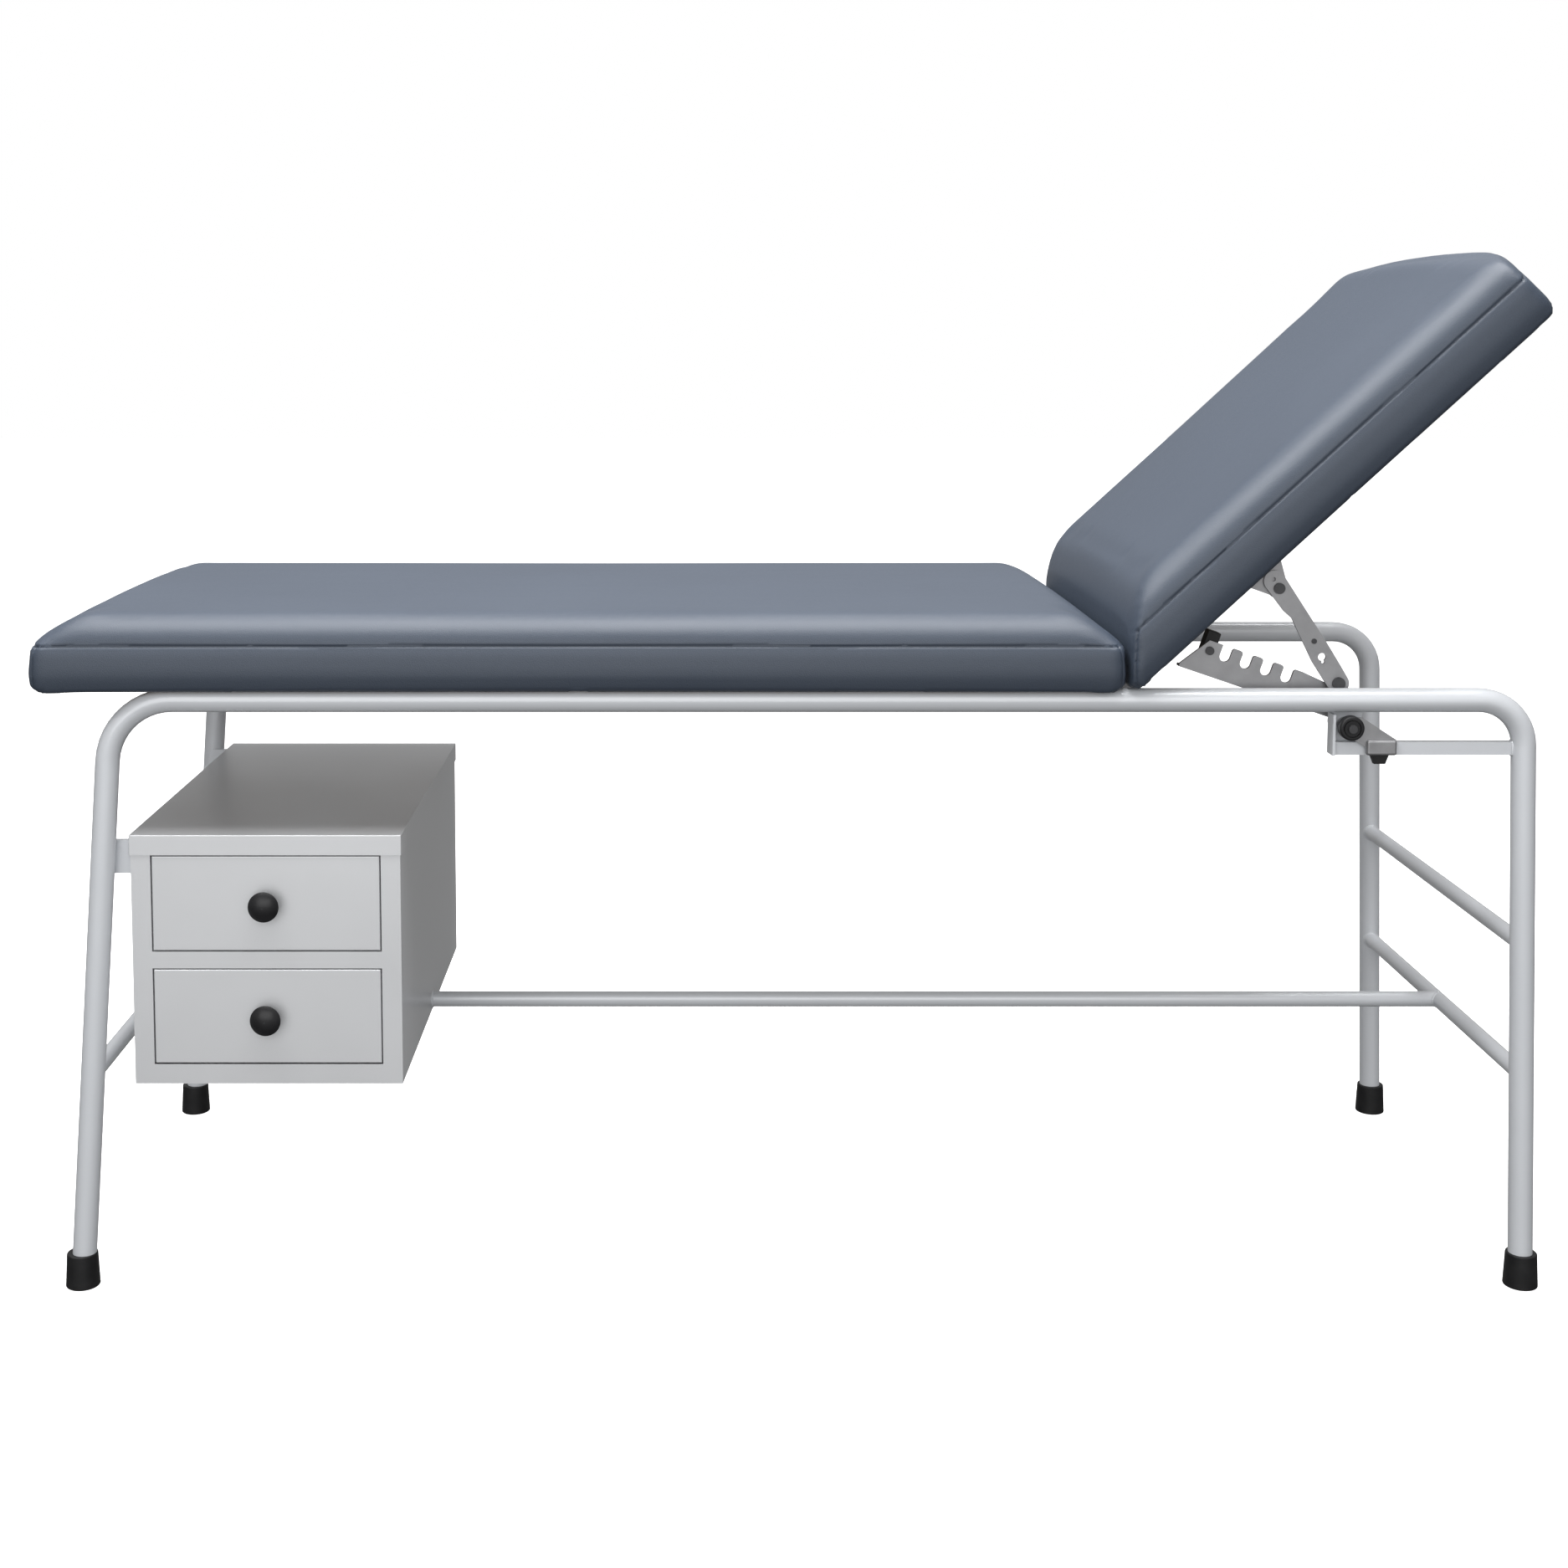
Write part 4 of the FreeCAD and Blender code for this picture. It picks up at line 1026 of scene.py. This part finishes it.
@dataclass
class Welds:
    """The welded joints of the tube frame, each with a rippled bead."""

    tube_radius: float = 0.014
    bead: float = 0.0018
    ripple: float = 0.16
    ripples: int = 24
    round_steps: int = 72
    bead_steps: int = 10
    bar_squareness: float = 6.0

    def joints(self) -> list[Joint]:
        """Where the beads go, read from the frame's own tubes.

        Returns:
            The joints.
        """
        along_x, along_y, along_z = Vector((1, 0, 0)), Vector((0, 1, 0)), Vector((0, 0, 1))
        walls = {
            "head_upper_rung": along_z,
            "head_lower_rung": along_z,
            "foot_lower_rung": along_z,
            "foot_cross_tube": along_x,
            "hinge_cross_tube": along_x,
        }
        found = []
        for side, way in (("near", -1), ("far", 1)):
            low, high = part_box("side_frame_" + side)
            leg_y = (low.y + high.y) / 2
            for node, wall in walls.items():
                middle, radius = self.middle(node)
                spot = Vector((middle.x, leg_y, middle.z))
                name = f"{node}_weld_{side}"
                found.append(Joint(name, spot, along_y * way, wall, radius, radius, self.tube_radius))
        rung, radius = self.middle("head_lower_rung")
        found.append(Joint("stretcher_weld_head", rung, along_x, along_y, radius, radius, radius))
        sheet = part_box("cabinet_right_side")[1]
        spot = Vector((sheet.x, rung.y, rung.z))
        found.append(Joint("stretcher_weld_cabinet", spot, -along_x, along_y, radius, radius))
        found.append(self.latch_bar_joint())
        return found

    def middle(self, node: str) -> tuple[Vector, float]:
        """The middle of a cross tube and its radius.

        Args:
            node: the tube's node.

        Returns:
            The middle and the radius.
        """
        low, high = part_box(node)
        return (low + high) / 2, (high.z - low.z) / 2

    def latch_bar_joint(self) -> Joint:
        """Where the latch's bar meets the near leg at the head end.

        Returns:
            The joint.
        """
        low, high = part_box("latch_bar")
        middle = (low + high) / 2
        upper = self.middle("head_upper_rung")[0]
        lower = self.middle("head_lower_rung")[0]
        lean = (upper.x - lower.x) / (upper.z - lower.z)
        rail_low, rail_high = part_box("side_frame_near")
        leg_y = (rail_low.y + rail_high.y) / 2
        return Joint(
            "latch_bar_weld",
            centre=Vector((upper.x + lean * (middle.z - upper.z), middle.y, middle.z)),
            bar=Vector((1, 0, 0)),
            wall=Vector((0, 0, 1)),
            half_across=(high.y - low.y) / 2,
            half_along=(high.z - low.z) / 2,
            wall_radius=self.tube_radius,
            wall_offset=middle.y - leg_y,
            squareness=self.bar_squareness,
        )

    def build(self, wardrobe: Wardrobe) -> list[bpy.types.Object]:
        """Makes the beads.

        Args:
            wardrobe: where the finishes come from.

        Returns:
            The beads.
        """
        beads = [self.bead_at(joint) for joint in self.joints()]
        for bead in beads:
            wardrobe.dress(bead, Finish.FRAME)
            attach(bead, "frame")
        return beads

    def bead_at(self, joint: Joint) -> bpy.types.Object:
        """One bead round a bar's end that follows the wall.

        Args:
            joint: the joint.

        Returns:
            The bead.
        """
        bpy.ops.object.select_all(action="DESELECT")
        bpy.ops.mesh.primitive_torus_add(
            major_radius=1.0,
            minor_radius=self.bead,
            major_segments=self.round_steps,
            minor_segments=self.bead_steps,
        )
        piece = bpy.context.active_object
        piece.name = joint.name
        across = joint.wall.cross(joint.bar)
        for vertex in piece.data.vertices:
            angle = math.atan2(vertex.co.y, vertex.co.x)
            swell = 1 + self.ripple * math.sin(angle * self.ripples)
            out = (math.hypot(vertex.co.x, vertex.co.y) - 1) * swell
            lift = vertex.co.z * swell
            power = joint.squareness
            wide = abs(math.cos(angle) / joint.half_across) ** power
            long = abs(math.sin(angle) / joint.half_along) ** power
            radius = (wide + long) ** (-1 / power) + out
            aside = math.cos(angle) * radius
            inside = joint.wall_radius**2 - (aside + joint.wall_offset) ** 2
            back = math.sqrt(max(0.0, inside))
            spot = joint.centre + across * aside + joint.wall * (math.sin(angle) * radius)
            vertex.co = spot + joint.bar * (lift - back)
        start_edit(piece)
        bpy.ops.mesh.select_all(action="SELECT")
        bpy.ops.mesh.normals_make_consistent(inside=False)
        end_edit()
        bpy.ops.object.shade_smooth()
        return piece


@dataclass(frozen=True)
class Softbox:
    """One soft rectangular light: where it hangs, its turn in degrees, its size and its watts."""

    name: str
    place: Triple
    turn: Triple
    size: tuple[float, float]
    power: float

    def hang(self) -> None:
        """Hangs the light."""
        lamp = bpy.data.lights.new(self.name, "AREA")
        lamp.shape = "RECTANGLE"
        lamp.size, lamp.size_y = self.size
        lamp.energy = self.power
        holder = bpy.data.objects.new(self.name, lamp)
        holder.location = self.place
        holder.rotation_euler = [math.radians(angle) for angle in self.turn]
        bpy.context.collection.objects.link(holder)


SOFTBOXES = (
    Softbox("top_softbox", place=(-0.3, -0.2, 3.0), turn=(0, 0, 0), size=(3.4, 2.2), power=180.0),
    Softbox("front_softbox", place=(-0.6, -3.6, 1.6), turn=(76, 0, -8), size=(4.4, 2.4), power=70.0),
)


@dataclass
class Studio:
    """The pale floor, the soft lights and the camera at the photograph's view."""

    lens: float = 47.97
    sensor: float = 36.0
    tilt: float = 5.0
    place: Triple = (-0.1135, -2.677, 1.1254)
    shift: tuple[float, float] = (0.0544, -0.17)
    floor_size: float = 40.0
    floor_drop: float = 0.0005
    floor_tone: Colour = (0.9, 0.9, 0.9)
    floor_roughness: float = 0.9
    floor_glow: float = 1.0
    white: Colour = (1.0, 1.0, 1.0)
    sides: float = 0.18
    ends: float = 0.32
    back: float = -0.06
    above: float = 0.3
    below: float = 0.1

    def build(self) -> None:
        """Sets up the floor, the surroundings, the lights and the camera."""
        self.floor()
        self.surroundings()
        for softbox in SOFTBOXES:
            softbox.hang()
        self.camera()

    def camera(self) -> None:
        """Puts the camera where the photograph was taken from."""
        camera = bpy.data.cameras.new("photo_camera")
        camera.lens = self.lens
        camera.sensor_width = self.sensor
        camera.shift_x, camera.shift_y = self.shift
        eye = bpy.data.objects.new("photo_camera", camera)
        eye.location = self.place
        eye.rotation_euler = (math.radians(90 - self.tilt), 0, 0)
        bpy.context.collection.objects.link(eye)
        bpy.context.scene.camera = eye

    def floor(self) -> None:
        """Lays a wide white floor just under the feet."""
        bpy.ops.object.select_all(action="DESELECT")
        bpy.ops.mesh.primitive_plane_add(size=self.floor_size, location=(0, 0, -self.floor_drop))
        floor = bpy.context.active_object
        floor.name = "studio_floor"
        graph = Surface("studio_white")
        graph.surface(
            Base_Color=self.floor_tone,
            Roughness=self.floor_roughness,
            Emission_Color=self.white,
            Emission_Strength=self.floor_glow,
        )
        floor.data.materials.append(graph.material)
        floor.visible_diffuse = False
        floor.visible_glossy = False

    def surroundings(self) -> None:
        """Fills the surroundings with soft light, dimmer at the sides. The camera sees plain white."""
        world = bpy.data.worlds.new("studio")
        world.use_nodes = True
        graph = Graph(world.node_tree)
        way = graph.node("ShaderNodeTexCoord").outputs["Generated"]
        parts = graph.node("ShaderNodeSeparateXYZ", None, {0: way})
        depth, height = (Value(graph, parts.outputs[axis]) for axis in ("Y", "Z"))
        light = self.sides + self.ends * depth * depth + self.back * depth + self.above * height
        light = light.at_least(self.below)
        seen = Value(graph, graph.node("ShaderNodeLightPath").outputs["Is Camera Ray"])
        strength = light * (1 - seen) + seen
        sky = graph.node("ShaderNodeBackground", None, {"Color": self.white, "Strength": strength})
        graph.node("ShaderNodeOutputWorld", None, {0: sky.outputs[0]})
        bpy.context.scene.world = world
        bpy.context.scene.view_settings.view_transform = "Standard"


def backrest_joint() -> dict:
    """The joint that raises the backrest."""
    return next(joint for joint in frame["joints"] if joint["name"] == "backrest_hinge")


def main() -> None:
    """Builds the table's looks in order and reports each piece."""
    logging.basicConfig(level=logging.INFO, format="%(name)s: %(message)s")
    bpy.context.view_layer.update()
    wardrobe = Wardrobe()
    wardrobe.dress_solids()
    hinge = backrest_joint()
    seat = Pad(
        "seat_pad",
        "frame",
        origin=Vector((0, 0, 0)),
        tilt=0.0,
        joint_end=End.HEAD,
        sewn_ends=(End.FOOT, End.HEAD),
        full_ends=(Fullness(End.FOOT, amount=0.008, reach=0.04, height=0.026),),
    )
    back = Pad(
        "backrest_pad",
        "backrest",
        origin=Vector(hinge["pos_m"]),
        tilt=-hinge["range_deg"][0],
        joint_end=End.FOOT,
        sewn_ends=(End.FOOT,),
        full_ends=(
            Fullness(End.FOOT, amount=0.011, reach=0.05, height=0.084),
            Fullness(End.HEAD, amount=0.004, reach=0.06, height=0.084),
        ),
    )
    for maker in (seat, back, Welds()):
        for piece in maker.build(wardrobe):
            log.info("%s: %d faces", piece.name, len(piece.data.polygons))
    Studio().build()


if __name__ == "__main__":
    main()
